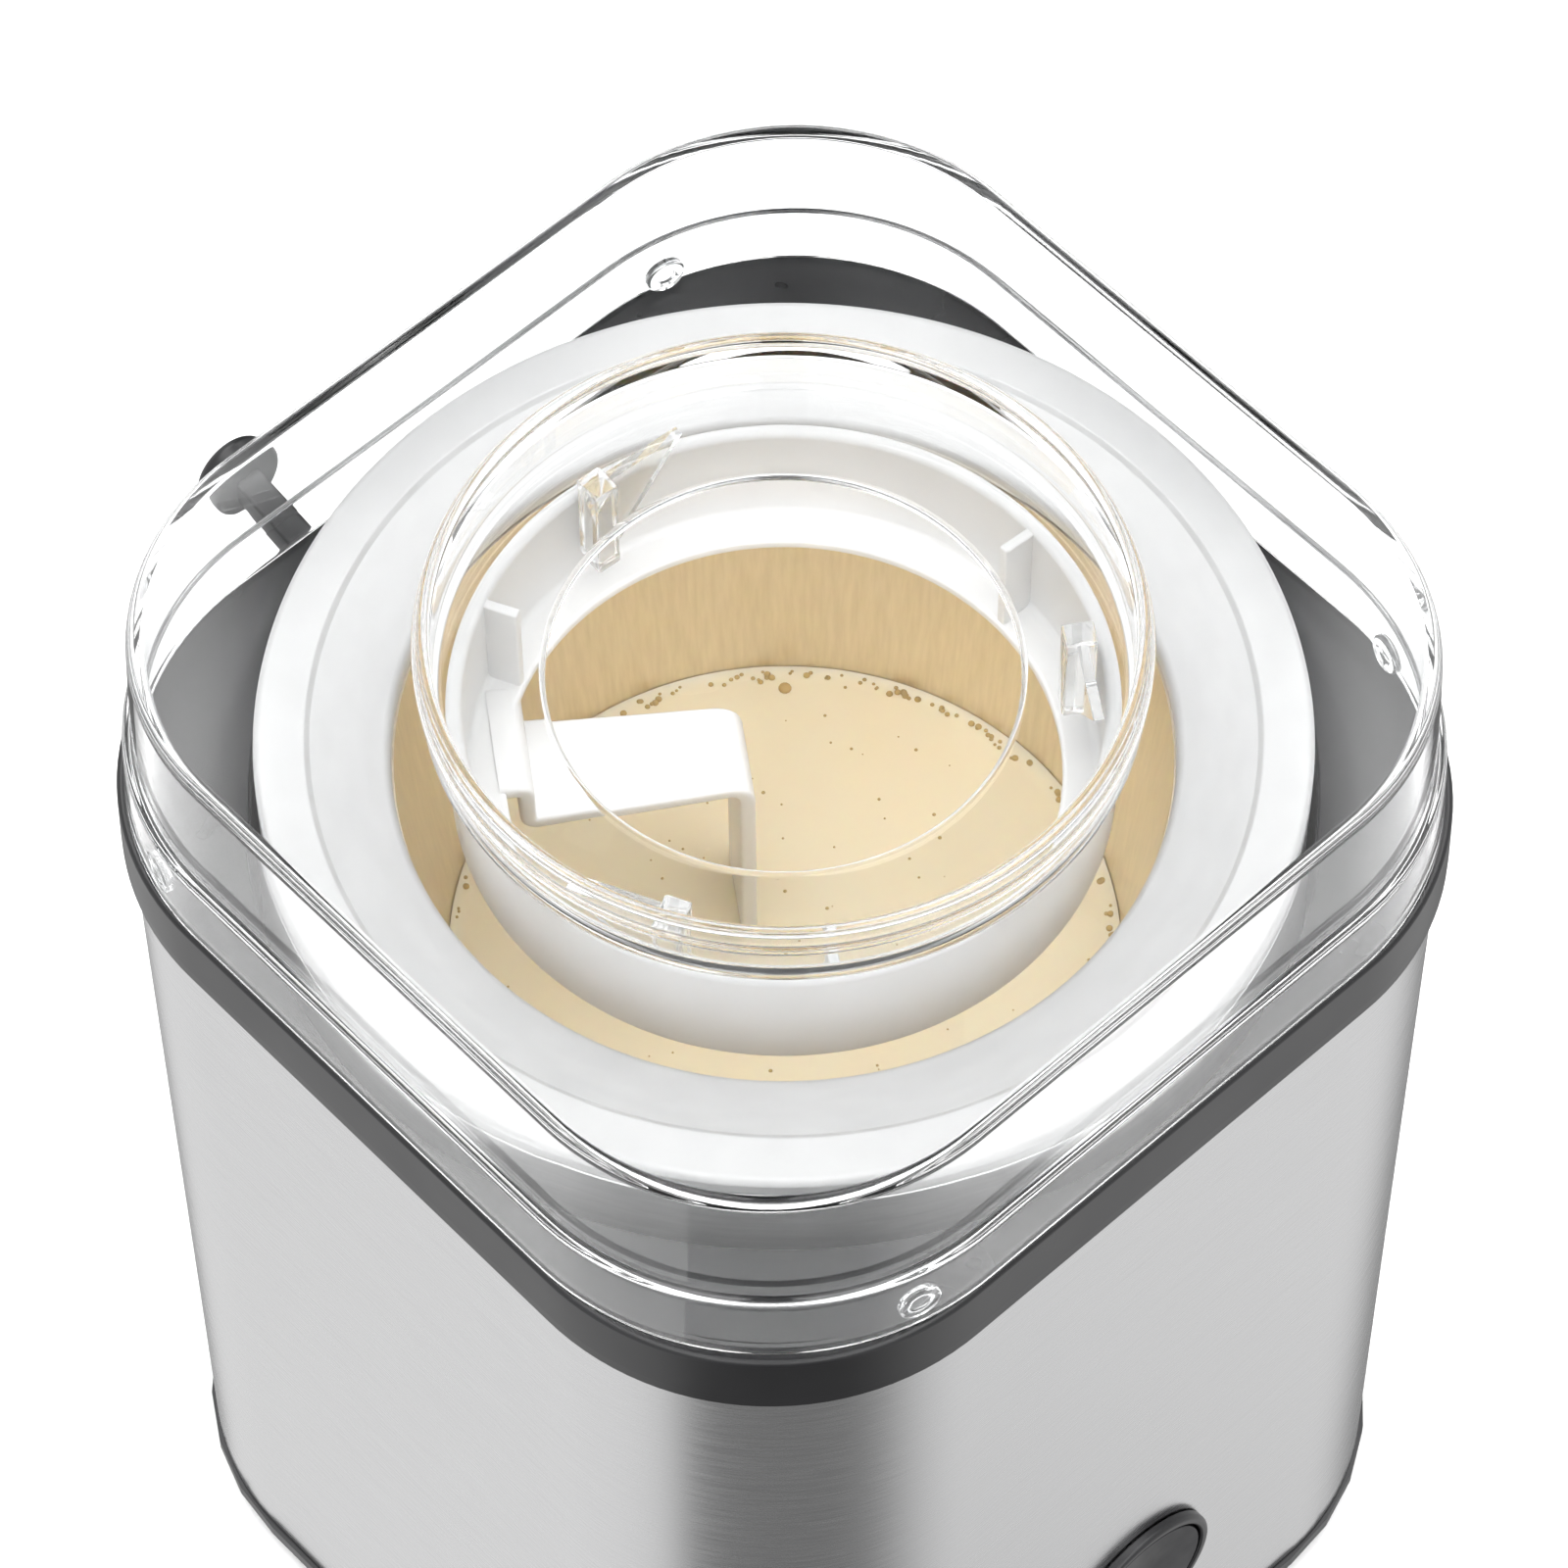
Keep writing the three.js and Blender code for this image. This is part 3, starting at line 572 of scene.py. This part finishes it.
def lid_lugs():
    """Posts with a tapering web that hang from the well's floor and stop the paddle."""
    top = WELL_FLOOR - LID_WALL - TOUCH
    for number, angle in enumerate(LUG_ANGLES, 1):
        post = block("post", (51 * MM, -2.6 * MM, LUG_BOTTOM), (57 * MM, 2.6 * MM, top),
                     0.5 * MM)
        outline = [(-2.6, LUG_BOTTOM + 2 * MM), (-2.6, top), (-19, top)]
        points = [(x * MM, y * MM, z) for x in (53, 55) for y, z in outline]
        web = mesh_object("web", points, [(0, 1, 2), (5, 4, 3), (0, 3, 4, 1), (1, 4, 5, 2),
                                          (2, 5, 3, 0)])
        moved(web, Matrix.Translation((0, -TOUCH, 0)))
        lug = joined(f"lid_lug_{number}", [post, web])
        moved(lug, Matrix.Translation(AXIS) @ Matrix.Rotation(math.radians(angle), 4, "Z"))
        place(lug, "lid", "clear_plastic")


def lid_bosses():
    """Round locating bosses with a dimple, inside the skirt at the start of each corner."""
    inside = SKIRT_HALF - LID_REACH - LID_WALL - 0.1 * MM
    profile = [(0, 0), (3.8, 0), (4, 0.2), (4, 1.4), (3.6, 1.8), (2.4, 1.8), (2.0, 1.5),
               (1.9, 0.9), (0, 0.7)]
    for quarter in range(4):
        boss = turned_solid("boss", [(r * MM, z * MM) for r, z in profile], count=40)
        moved(boss, Matrix.Translation(-AXIS))
        moved(boss, Matrix.Rotation(-math.pi / 2, 4, "X"))
        moved(boss, Matrix.Translation((0, -inside, LID_BOTTOM + BOSS_HEIGHT)))
        moved(boss, Matrix.Rotation(math.radians(BOSS_TURN), 4, "Z"))
        moved(boss, Matrix.Translation((-LID_REACH, -LID_REACH, 0)))
        moved(boss, Matrix.Translation(AXIS) @ Matrix.Rotation(quarter * TAU / 4, 4, "Z"))
        boss.name = f"lid_boss_{quarter + 1}"
        place(boss, "lid", "clear_plastic")


# --------------------------------------------------------------------- paddle
RING_RADIUS = half_width("paddle")
RING_TOP = high("paddle").z
RING_BOTTOM = LID_TOP - 45 * MM
RING_WALL = 3 * MM
RING_HOLE = 51 * MM
FIN_ANGLES = (-4, 116, 236)
STRAP_TOP = LID_TOP - 53 * MM
STRAP_THICK = 3 * MM
STRAP_HEADING = math.radians(-34.7)
STRAP_END = Vector((3.5 * MM, 13.3 * MM, 0))
STRAP_LENGTH = 44 * MM
STRAP_WIDE, STRAP_TAPER = 23, 4.5  # mm: the width at the leg, and what it loses by the blade
LEG_BEND, BLADE_BEND = 2.4 * MM, 4.5 * MM
BLADE_BOTTOM = low("paddle").z


def strap_section(centre, along, width):
    """A flat loop of rounded rectangle across the path at centre, in the XZ plane of the arm."""
    normal = Vector((-along.z, 0, along.x))
    loop = []
    edge = 0.9 * MM
    for corner in range(4):
        side = 1 if corner in (0, 3) else -1
        face = 1 if corner < 2 else -1
        for step in range(4):
            angle = math.pi / 2 * (corner + step / 3)
            y = side * (width / 2 - edge) + edge * math.cos(angle)
            out = face * (STRAP_THICK / 2 - edge) + edge * math.sin(angle)
            loop.append(centre + Vector((0, y, 0)) + normal * out)
    return [tuple(point) for point in loop]


def bent_path(points, radii, steps=7):
    """A path in the XZ plane with a round bend at each inner point, as (place, direction)
    pairs."""
    path = []
    for i, point in enumerate(points):
        here = Vector(point)
        if i in (0, len(points) - 1):
            other = Vector(points[1] if i == 0 else points[-2])
            along = (other - here) if i == 0 else (here - other)
            path.append((here, along.normalized()))
            continue
        back = (Vector(points[i - 1]) - here).normalized()
        on = (Vector(points[i + 1]) - here).normalized()
        radius = radii[i - 1]
        start = here + back * radius
        for step in range(steps + 1):
            t = step / steps
            place_on = start.lerp(here, t).lerp(here.lerp(here + on * radius, t), t)
            along = (-back).lerp(on, t).normalized()
            path.append((place_on, along))
    return path


def paddle_arm():
    mid = STRAP_TOP - STRAP_THICK / 2
    leg = -STRAP_LENGTH + STRAP_THICK / 2
    foot = RING_BOTTOM + STRAP_THICK / 2
    route = [(leg - 5 * MM, 0, foot), (leg, 0, foot), (leg, 0, mid),
             (-STRAP_THICK / 2, 0, mid), (-STRAP_THICK / 2, 0, BLADE_BOTTOM)]
    path = bent_path(route, (LEG_BEND, LEG_BEND, BLADE_BEND))
    loops = []
    for centre, along in path:
        share = min(max((centre.x + STRAP_LENGTH) / STRAP_LENGTH, 0), 1)
        width = (STRAP_WIDE - STRAP_TAPER * share) * MM
        loops.append(strap_section(centre, along, width))
    return mesh_object("arm", *skin(loops, closed=False), smooth_angle=50)


def paddle():
    corners = [
        (RING_HOLE, RING_BOTTOM, 0.8 * MM),
        (RING_RADIUS, RING_BOTTOM, 1.2 * MM),
        (RING_RADIUS, RING_TOP, 1.2 * MM),
        (RING_RADIUS - RING_WALL, RING_TOP, 1.2 * MM),
        (RING_RADIUS - RING_WALL, RING_BOTTOM + 2.5 * MM, 1.5 * MM),
        (RING_HOLE, RING_BOTTOM + 2.5 * MM, 0.8 * MM),
    ]
    body = turned("paddle_ring", corners, smooth_angle=60)
    about_axis = Matrix.Translation(AXIS)
    for angle in FIN_ANGLES:
        fin = block("fin", (RING_HOLE + 0.6 * MM, -1 * MM, RING_BOTTOM + 1.5 * MM),
                    (RING_RADIUS - 1.5 * MM, 1 * MM, RING_TOP - 0.6 * MM), 0.4 * MM)
        moved(fin, about_axis @ Matrix.Rotation(math.radians(angle), 4, "Z"))
        boolean(body, [fin], "UNION")
    place_arm = (about_axis @ Matrix.Translation(STRAP_END)
                 @ Matrix.Rotation(STRAP_HEADING, 4, "Z"))
    scraper_low = block("scraper_low", (-2 * MM, -9.4 * MM, BLADE_BOTTOM),
                        (46 * MM, -6.6 * MM, BLADE_BOTTOM + 14 * MM), 0.9 * MM)
    scraper_side = block("scraper_side", (34 * MM, -9.4 * MM, BLADE_BOTTOM + 0.3 * MM),
                         (45.9 * MM, -6.6 * MM, LID_TOP - 122 * MM), 0.9 * MM)
    for part in (paddle_arm(), scraper_low, scraper_side):
        boolean(body, [moved(part, place_arm)], "UNION")
    body.name = "paddle_white"
    return place(body, "paddle", "white_plastic", "paddle")


# ---------------------------------------------------------------- freezer bowl
BOWL_RADIUS = half_width("bowl_rim")
BOWL_TOP = high("bowl_rim").z
LIP_OUTER = 86.6 * MM
LIP_INNER = 71.5 * MM
LIP_Z = LID_TOP - 35 * MM
LINER_TOP = high("bowl_inner_liner").z
LINER_FLOOR = low("bowl_inner_liner").z + 1.5 * MM
LINER_WALL = 1.5 * MM
LINER_FLOOR_RADIUS = 56 * MM
LINER_FILLET = 10 * MM
SHELL_WALL = 1.4 * MM
CUSTARD_LEVEL = LID_TOP - 104 * MM
MIX_CLEAR = 0.02 * MM  # between the mix and the liner
MENISCUS = 1.1 * MM  # how far the mix climbs the wall
MENISCUS_REACH = 3.2 * MM
MENISCUS_CURVE = 2.4


def liner_radius(z):
    share = (z - LINER_FLOOR) / (LIP_Z - LINER_FLOOR)
    return LINER_FLOOR_RADIUS + share * (LIP_INNER - LINER_FLOOR_RADIUS)


def bowl_rim():
    low_edge = BOWL_TOP - 4 * MM
    corners = [
        (BOWL_RADIUS, low_edge, 0.3 * MM),
        (BOWL_RADIUS, BOWL_TOP, 1.4 * MM),
        (LIP_OUTER + 0.4 * MM, BOWL_TOP, 0.8 * MM),
        (LIP_OUTER - 0.6 * MM, BOWL_TOP - 0.8 * MM, 0.8 * MM),
        (LIP_INNER, LIP_Z + 0.6 * MM, 2.2 * MM),
        (LIP_INNER, LINER_TOP + 0.3 * MM, 0.2 * MM),
        (LIP_INNER + 1.8 * MM, LINER_TOP + 0.3 * MM, 0.2 * MM),
        (LIP_OUTER, BOWL_TOP - 3.2 * MM, 0.5 * MM),
        (BOWL_RADIUS - 2.2 * MM, BOWL_TOP - 3.2 * MM, 0.5 * MM),
        (BOWL_RADIUS - 2.2 * MM, low_edge, 0.3 * MM),
    ]
    return place(turned("bowl_rim_ring", corners, smooth_angle=60), "bowl", "satin_metal",
                 "bowl_rim", material=RIM_METAL)


def inner_liner():
    """The tapered cup that holds the mix, with a round fillet at its floor."""
    def wall(skin_thick):
        points = [(0, LINER_FLOOR - skin_thick)]
        fillet = LINER_FILLET
        centre_r = liner_radius(LINER_FLOOR + fillet) - fillet
        for step in range(9):
            angle = math.pi / 2 * step / 8
            points.append((centre_r + (fillet + skin_thick) * math.sin(angle),
                           LINER_FLOOR + fillet - (fillet + skin_thick) * math.cos(angle)))
        points.append((liner_radius(LINER_TOP) + skin_thick, LINER_TOP))
        return points
    profile = wall(LINER_WALL) + wall(0)[::-1]
    cup = turned_solid("liner_cup", profile, smooth_angle=50)
    return place(cup, "bowl", "satin_metal", "bowl_inner_liner", material=LINER_METAL_PAINTED_REFLECTION)


def outer_shell():
    bottom = low("bowl_outer_shell").z
    top = high("bowl_outer_shell").z
    hole = half_width("bowl_socket") + 0.3 * MM
    corners = [
        (hole, bottom, 0), (BOWL_RADIUS, bottom, 3 * MM), (BOWL_RADIUS, top, 0.3 * MM),
        (BOWL_RADIUS - SHELL_WALL, top, 0.3 * MM),
        (BOWL_RADIUS - SHELL_WALL, bottom + SHELL_WALL, 2 * MM), (hole, bottom + SHELL_WALL, 0),
    ]
    return place(turned("bowl_can", corners, smooth_angle=50), "bowl", "satin_metal",
                 "bowl_outer_shell")


def custard_mix():
    """The mix as one body, with a raised edge where it wets the wall, and its bubbles."""
    clear = MIX_CLEAR
    level = CUSTARD_LEVEL
    edge = liner_radius(level)
    low_z = LINER_FLOOR + clear
    fillet = LINER_FILLET
    centre_r = liner_radius(LINER_FLOOR + fillet) - fillet
    profile = [(0, low_z)]
    for step in range(7):
        angle = math.pi / 2 * step / 6
        profile.append((centre_r + (fillet - clear) * math.sin(angle),
                        LINER_FLOOR + fillet - (fillet - clear) * math.cos(angle)))
    profile.append((edge - clear, level + MENISCUS))
    for step in range(1, 9):
        t = step / 8
        profile.append((edge - clear - MENISCUS_REACH * t,
                        level + MENISCUS * (1 - t) ** MENISCUS_CURVE))
    profile += [(edge * share, level) for share in (0.85, 0.65, 0.4, 0.15)]
    profile.append((0, level))
    mix = turned_solid("ice_cream_mix", profile, smooth_angle=60)
    place(mix, "bowl", "white_plastic", material=CUSTARD)
    # The bubbles' dark brown is painted shade.
    place(bubbles(edge - clear, level), "bowl", "white_plastic", material=FROTH_PAINTED_SHADE)


def dome(x, y, z, radius, around=12, up=4):
    """Points and faces of a flattened bubble, its middle at (x, y, z)."""
    points, faces = [(x, y, z - 0.4 * radius)], []
    for level in range(up):
        angle = math.pi / 2 * level / up
        for step in range(around):
            turn = TAU * step / around
            points.append((x + radius * math.cos(angle) * math.cos(turn),
                           y + radius * math.cos(angle) * math.sin(turn),
                           z + 0.6 * radius * math.sin(angle)))
    points.append((x, y, z + 0.6 * radius))
    for i in range(around):
        j = (i + 1) % around
        faces.append((0, 1 + j, 1 + i))
        for level in range(up - 1):
            a, b = 1 + level * around, 1 + (level + 1) * around
            faces.append((a + i, a + j, b + j, b + i))
        a = 1 + (up - 1) * around
        faces.append((a + i, a + j, len(points) - 1))
    return points, faces


FRINGE_BUBBLES, LOOSE_BUBBLES = 260, 110
BIG_BUBBLES = ((47, 0.93, 1.3), (-20, 0.8, 0.8), (-75, 0.7, 0.9))  # degrees, share, mm


def bubbles(edge, level):
    """Small half-sunk bubbles: a fringe along the wall and a few loose ones."""
    draw = random.Random(7)
    wanted = []
    for _ in range(FRINGE_BUBBLES):
        radius = draw.choice((0.35, 0.45, 0.55, 0.7)) * MM
        r = edge - radius - 0.4 * MM - abs(draw.gauss(0, 0.9)) * MM
        climb = max(0, 1 - (edge - r) / MENISCUS_REACH)
        wanted.append((draw.uniform(0, TAU), r, MENISCUS * climb ** MENISCUS_CURVE,
                       radius))
    for _ in range(LOOSE_BUBBLES):
        r = edge * math.sqrt(draw.uniform(0, 0.85))
        wanted.append((draw.uniform(0, TAU), r, 0, draw.uniform(0.15, 0.4) * MM))
    for angle, share, radius in BIG_BUBBLES:
        wanted.append((math.radians(angle), edge * share, 0, radius * MM))
    points, faces = [], []
    for turn, r, lift, radius in wanted:
        start = len(points)
        more, sides = dome(AXIS_X + r * math.cos(turn), AXIS_Y + r * math.sin(turn),
                           level + lift, radius)
        points += more
        faces += [tuple(start + i for i in side) for side in sides]
    return mesh_object("mix_bubbles", points, faces, 60)


# ----------------------------------------------------------------------- base
RIM_TOP = high("top_rim").z
RIM_BOTTOM = low("top_rim").z
RIM_HALF = half_width("top_rim")
RIM_REACH = 49 * MM
RIM_PLATE = 3 * MM
SLEEVE_HALF = half_width("steel_sleeve")
SLEEVE_REACH = SLEEVE_HALF - 52 * MM
SLEEVE_WALL = 0.8 * MM
BOWL_OPENING = 98 * MM


def square_shell(name, corners, reach, steps=5, smooth_angle=50):
    """A closed outline of (half width, z, rounding) corners swept round the square."""
    loops = []
    for size, z in rounded(corners, steps):
        kind = "s" if size > BOWL_OPENING + 0.5 * MM else "c"
        loops.append(ring(kind, size, z, reach))
    return mesh_object(name, *skin(loops), smooth_angle)


def top_rim():
    inner = SLEEVE_HALF + 0.3 * MM
    corners = [
        (RIM_HALF, RIM_BOTTOM, 0.6 * MM),
        (RIM_HALF, RIM_BOTTOM + 3 * MM, 4 * MM),
        (RIM_HALF - 0.3 * MM, RIM_TOP, 1.0 * MM),
        (BOWL_OPENING, RIM_TOP, 0.8 * MM),
        (BOWL_OPENING, RIM_TOP - RIM_PLATE, 0.3 * MM),
        (inner, RIM_TOP - RIM_PLATE, 0.3 * MM),
        (inner, RIM_BOTTOM, 0.5 * MM),
    ]
    rim = square_shell("rim_moulding", corners, RIM_REACH)
    return place(rim, "base", "black_plastic", "top_rim")


def along_y(name, corners, x, z, count=96, steps=4, solid=False):
    """A closed outline of (radius, y, rounding) corners turned about an axis along Y."""
    outline = list(rounded(corners, steps))
    points, faces = [], []
    for r, y in outline:
        for step in range(count):
            angle = TAU * step / count
            points.append((x + r * math.cos(angle), y, z + r * math.sin(angle)))
    levels = len(outline)
    for a in range(levels - (1 if solid else 0)):
        b = (a + 1) % levels
        for i in range(count):
            j = (i + 1) % count
            faces.append((a * count + i, a * count + j, b * count + j, b * count + i))
    return mesh_object(name, points, faces, 50)


def centre_of(node):
    return (low(node) + high(node)) / 2


def steel_sleeve():
    bottom, top = low("steel_sleeve").z, high("steel_sleeve").z
    inner = SLEEVE_HALF - SLEEVE_WALL
    corners = [(SLEEVE_HALF, bottom, 0.2 * MM), (SLEEVE_HALF, top, 0.2 * MM),
               (inner, top, 0.2 * MM), (inner, bottom, 0.2 * MM)]
    sleeve = square_shell("sleeve_sheet", corners, SLEEVE_REACH, steps=2)
    button, gland = centre_of("button_bezel"), centre_of("cord_gland")
    front = AXIS_Y - SLEEVE_HALF
    back = AXIS_Y + SLEEVE_HALF
    bore = half_width("button_bezel") - 1 * MM
    holes = [
        along_y("hole", [(0, front - 9 * MM, 0), (bore, front - 9 * MM, 0),
                         (bore, front + 9 * MM, 0), (0, front + 9 * MM, 0)], button.x, button.z),
        along_y("hole", [(0, back - 9 * MM, 0), (8 * MM, back - 9 * MM, 0),
                         (8 * MM, back + 9 * MM, 0), (0, back + 9 * MM, 0)], gland.x, gland.z),
    ]
    boolean(sleeve, holes, "DIFFERENCE")
    return place(sleeve, "base", "brushed_steel", "steel_sleeve")


def button():
    centre = centre_of("button_bezel")
    bezel_low, bezel_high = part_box("button_bezel")
    cap_low, cap_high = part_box("button_cap")
    radius, cap = half_width("button_bezel"), half_width("button_cap")
    bore = cap + 0.4 * MM
    face = AXIS_Y - SLEEVE_HALF - 0.3 * MM
    bezel = along_y("bezel_ring", [
        (bore, bezel_low.y, 0.5 * MM), (radius, bezel_low.y, 0.9 * MM), (radius, face, 0.1 * MM),
        (radius - 1.3 * MM, face, 0.1 * MM), (radius - 1.3 * MM, bezel_high.y, 0.2 * MM),
        (bore, bezel_high.y, 0.2 * MM)], centre.x, centre.z, count=160)
    place(bezel, "base", "black_plastic", "button_bezel")
    disc = along_y("button_disc", [
        (TINY, cap_low.y + 0.6 * MM, 0), (cap * 0.5, cap_low.y + 0.3 * MM, 0),
        (cap - 0.3 * MM, cap_low.y, 0.3 * MM), (cap, cap_low.y + 0.6 * MM, 0.3 * MM),
        (cap, cap_low.y + 5 * MM, 0.3 * MM), (4 * MM, cap_low.y + 5 * MM, 0.5 * MM),
        (4 * MM, cap_high.y, 0.4 * MM), (TINY, cap_high.y, 0)], centre.x, centre.z, count=160)
    place(disc, "button", "black_plastic", "button_cap", material=SPUN_BLACK)


def rear_fittings():
    for name, way in (("cord_hook_upper", 1), ("cord_hook_lower", -1)):
        lowest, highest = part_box(name)
        radius = half_width(name)
        x = (lowest.x + highest.x) / 2
        middle = highest.z - radius if way == 1 else lowest.z + radius
        near = highest.y - 5 * MM
        tab = along_y("tab", [
            (TINY, near, 0), (radius, near, 1.4 * MM), (radius, highest.y, 2.2 * MM),
            (TINY, highest.y, 0)], x, middle, count=64, steps=6)
        root = middle - way * 5 * MM
        slope = [(lowest.y, -3.5), (lowest.y, 3.5), (near + 1 * MM, 7.5), (near + 1 * MM, 1.5)]
        points = [(x + side * 3 * MM, y, root + way * rise * MM) for side in (-1, 1)
                  for y, rise in slope]
        neck = mesh_object("neck", points, [(0, 1, 2, 3), (7, 6, 5, 4), (0, 4, 5, 1),
                                            (1, 5, 6, 2), (2, 6, 7, 3), (3, 7, 4, 0)])
        soften(neck, 0.9 * MM)
        hook = boolean(tab, [neck], "UNION")
        hook.name = f"{name}_moulding"
        place(hook, "base", "black_plastic", name)
    gland = centre_of("cord_gland")
    lowest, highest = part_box("cord_gland")
    back = AXIS_Y + SLEEVE_HALF
    bush = along_y("gland_moulding", [
        (3.8 * MM, lowest.y, 0.3 * MM), (9.8 * MM, lowest.y, 0.6 * MM),
        (9.8 * MM, back - 1.6 * MM, 0.4 * MM), (7.6 * MM, back - 1.6 * MM, 0.1 * MM),
        (7.6 * MM, back + 0.3 * MM, 0.1 * MM), (10.4 * MM, back + 0.3 * MM, 0.5 * MM),
        (10.4 * MM, back + 2 * MM, 0.8 * MM), (6.2 * MM, highest.y, 0.8 * MM),
        (3.8 * MM, highest.y, 0.8 * MM)], gland.x, gland.z)
    place(bush, "base", "rubber", "cord_gland")


# --------------------------------------------------------- floor, light, camera
BACKDROP = 1.0
DIFFUSE_LIFT = 0.42  # how much brighter the room is for matt surfaces
SOFT_BOX = 2.6
ROOM_DARK = 0.05
ROOM_SIDE = 0.75
TABLE_LIGHT = 0.66
TABLE_DARK = 0.2
GAP_ABOVE = (0.07, 0.09)
GAP_BELOW_LEFT = (0.28, 0.295)
GAP_BELOW_RIGHT = (0.27, 0.5)
CAMERA_AZIMUTH = math.radians(-42.725)
CAMERA_ELEVATION = math.radians(55.4)
CAMERA_ROLL = math.radians(-0.317)
CAMERA_DISTANCE = 1.2145  # from the middle of the lid's top
CAMERA_LENS = 156.74
AIM_DROP = 0.0477  # the camera looks at the drive axis this far below the lid's top


def studio():
    """A white backdrop with two big soft boxes overhead, left and right of the camera's own
    upright plane, and a dark gap between them that the shiny parts reflect."""
    world = bpy.data.worlds.new("studio")
    bpy.context.scene.world = world
    world.use_nodes = True
    tree = world.node_tree
    nodes, links = tree.nodes, tree.links

    def math_node(operation, first, second=None, clamp=False):
        made = nodes.new("ShaderNodeMath")
        made.operation = operation
        made.use_clamp = clamp
        for socket, value in zip(made.inputs, (first, second)):
            if value is None:
                continue
            if isinstance(value, (int, float)):
                socket.default_value = value
            else:
                links.new(value, socket)
        return made.outputs[0]

    def step(value, start, end, low_value=0.0, high_value=1.0):
        made = nodes.new("ShaderNodeMapRange")
        made.interpolation_type = "SMOOTHSTEP"
        for key, number in (("From Min", start), ("From Max", end), ("To Min", low_value),
                            ("To Max", high_value)):
            made.inputs[key].default_value = number
        links.new(value, made.inputs["Value"])
        return made.outputs["Result"]

    def along(direction):
        made = nodes.new("ShaderNodeVectorMath")
        made.operation = "DOT_PRODUCT"
        made.inputs[1].default_value = direction
        links.new(place_in_world.outputs["Generated"], made.inputs[0])
        return made.outputs["Value"]

    place_in_world = nodes.new("ShaderNodeTexCoord")
    across = along((math.cos(CAMERA_AZIMUTH), math.sin(CAMERA_AZIMUTH), 0))
    up = along((0, 0, 1))
    aside = math_node("ABSOLUTE", across)
    # overhead: dark gap, soft box, dim edge of the room
    boxes = math_node("MULTIPLY", step(aside, *GAP_ABOVE), step(aside, 0.45, 0.6, 1, 0))
    boxes = math_node("MULTIPLY", boxes, step(up, 0.4, 0.6))
    room = step(aside, 0.05, 0.35, ROOM_DARK, ROOM_SIDE)
    above = math_node("ADD", math_node("MULTIPLY", boxes, SOFT_BOX), room)
    # below: the lit table left and right, darker towards the camera
    right = math_node("MULTIPLY", step(across, *GAP_BELOW_RIGHT), TABLE_LIGHT)
    left = math_node("MULTIPLY", step(math_node("MULTIPLY", across, -1.0), *GAP_BELOW_LEFT),
                     TABLE_LIGHT)
    below = math_node("ADD", math_node("ADD", left, right), TABLE_DARK)
    mix = nodes.new("ShaderNodeMix")
    mix.data_type = "FLOAT"
    links.new(step(up, -0.05, 0.05), mix.inputs[0])
    links.new(below, mix.inputs[2])
    links.new(above, mix.inputs[3])
    # what the camera sees straight or through clear parts stays plain white
    path = nodes.new("ShaderNodeLightPath")
    bounced = math_node("ADD", path.outputs["Diffuse Depth"], path.outputs["Glossy Depth"],
                        clamp=True)
    shown = nodes.new("ShaderNodeMix")
    shown.data_type = "FLOAT"
    links.new(bounced, shown.inputs[0])
    shown.inputs[2].default_value = BACKDROP
    links.new(mix.outputs[0], shown.inputs[3])
    background = nodes["Background"]
    background.inputs["Color"].default_value = (1, 1, 1, 1)
    lifted = math_node("MULTIPLY_ADD", math_node("MINIMUM", path.outputs["Diffuse Depth"], 1.0),
                       DIFFUSE_LIFT)
    lifted.node.inputs[2].default_value = 1.0
    links.new(math_node("MULTIPLY", shown.outputs[0], lifted), background.inputs["Strength"])
    scene = bpy.context.scene
    scene.view_settings.view_transform = "Standard"
    scene.cycles.max_bounces = 24
    scene.cycles.transmission_bounces = 20
    scene.cycles.glossy_bounces = 12


def floor():
    """A plain pale floor. Shiny parts mirror the studio's own table light instead of it."""
    half = 3.0
    corners = [(-half, -half, 0), (half, -half, 0), (half, half, 0), (-half, half, 0)]
    sheet = mesh_object("floor", corners, [(0, 1, 2, 3)])
    shader = Shader("floor_paint", IOR=1.45)
    cloud = shader.noise(4, detail=2)
    shader.tint(cloud, grey(0.86), grey(0.88))
    shader.rough(cloud, 0.7, 0.8)
    sheet.data.materials.append(shader.material)
    sheet.visible_glossy = False
    sheet.visible_diffuse = False


def camera():
    data = bpy.data.cameras.new("camera")
    data.lens = CAMERA_LENS
    data.sensor_width = 36
    data.clip_start, data.clip_end = 0.05, 50
    made = bpy.data.objects.new("camera", data)
    bpy.context.scene.collection.objects.link(made)
    bpy.context.scene.camera = made
    level = math.cos(CAMERA_ELEVATION)
    back = Vector((math.sin(CAMERA_AZIMUTH) * level, -math.cos(CAMERA_AZIMUTH) * level,
                   math.sin(CAMERA_ELEVATION)))
    lid_centre = Vector((AXIS_X, AXIS_Y, LID_TOP))
    made.location = lid_centre + back * CAMERA_DISTANCE
    aim = lid_centre - Vector((0, 0, AIM_DROP))
    look = (aim - made.location).to_track_quat("-Z", "Y")
    made.rotation_mode = "QUATERNION"
    made.rotation_quaternion = look @ Matrix.Rotation(CAMERA_ROLL, 4, "Z").to_quaternion()


# ----------------------------------------------------------------- the machine
camera()
studio()
floor()
paint_cad_nodes()
steel_sleeve()
top_rim()
button()
rear_fittings()
outer_shell()
inner_liner()
bowl_rim()
custard_mix()
paddle()
clear_lid()
lid_lugs()
lid_bosses()
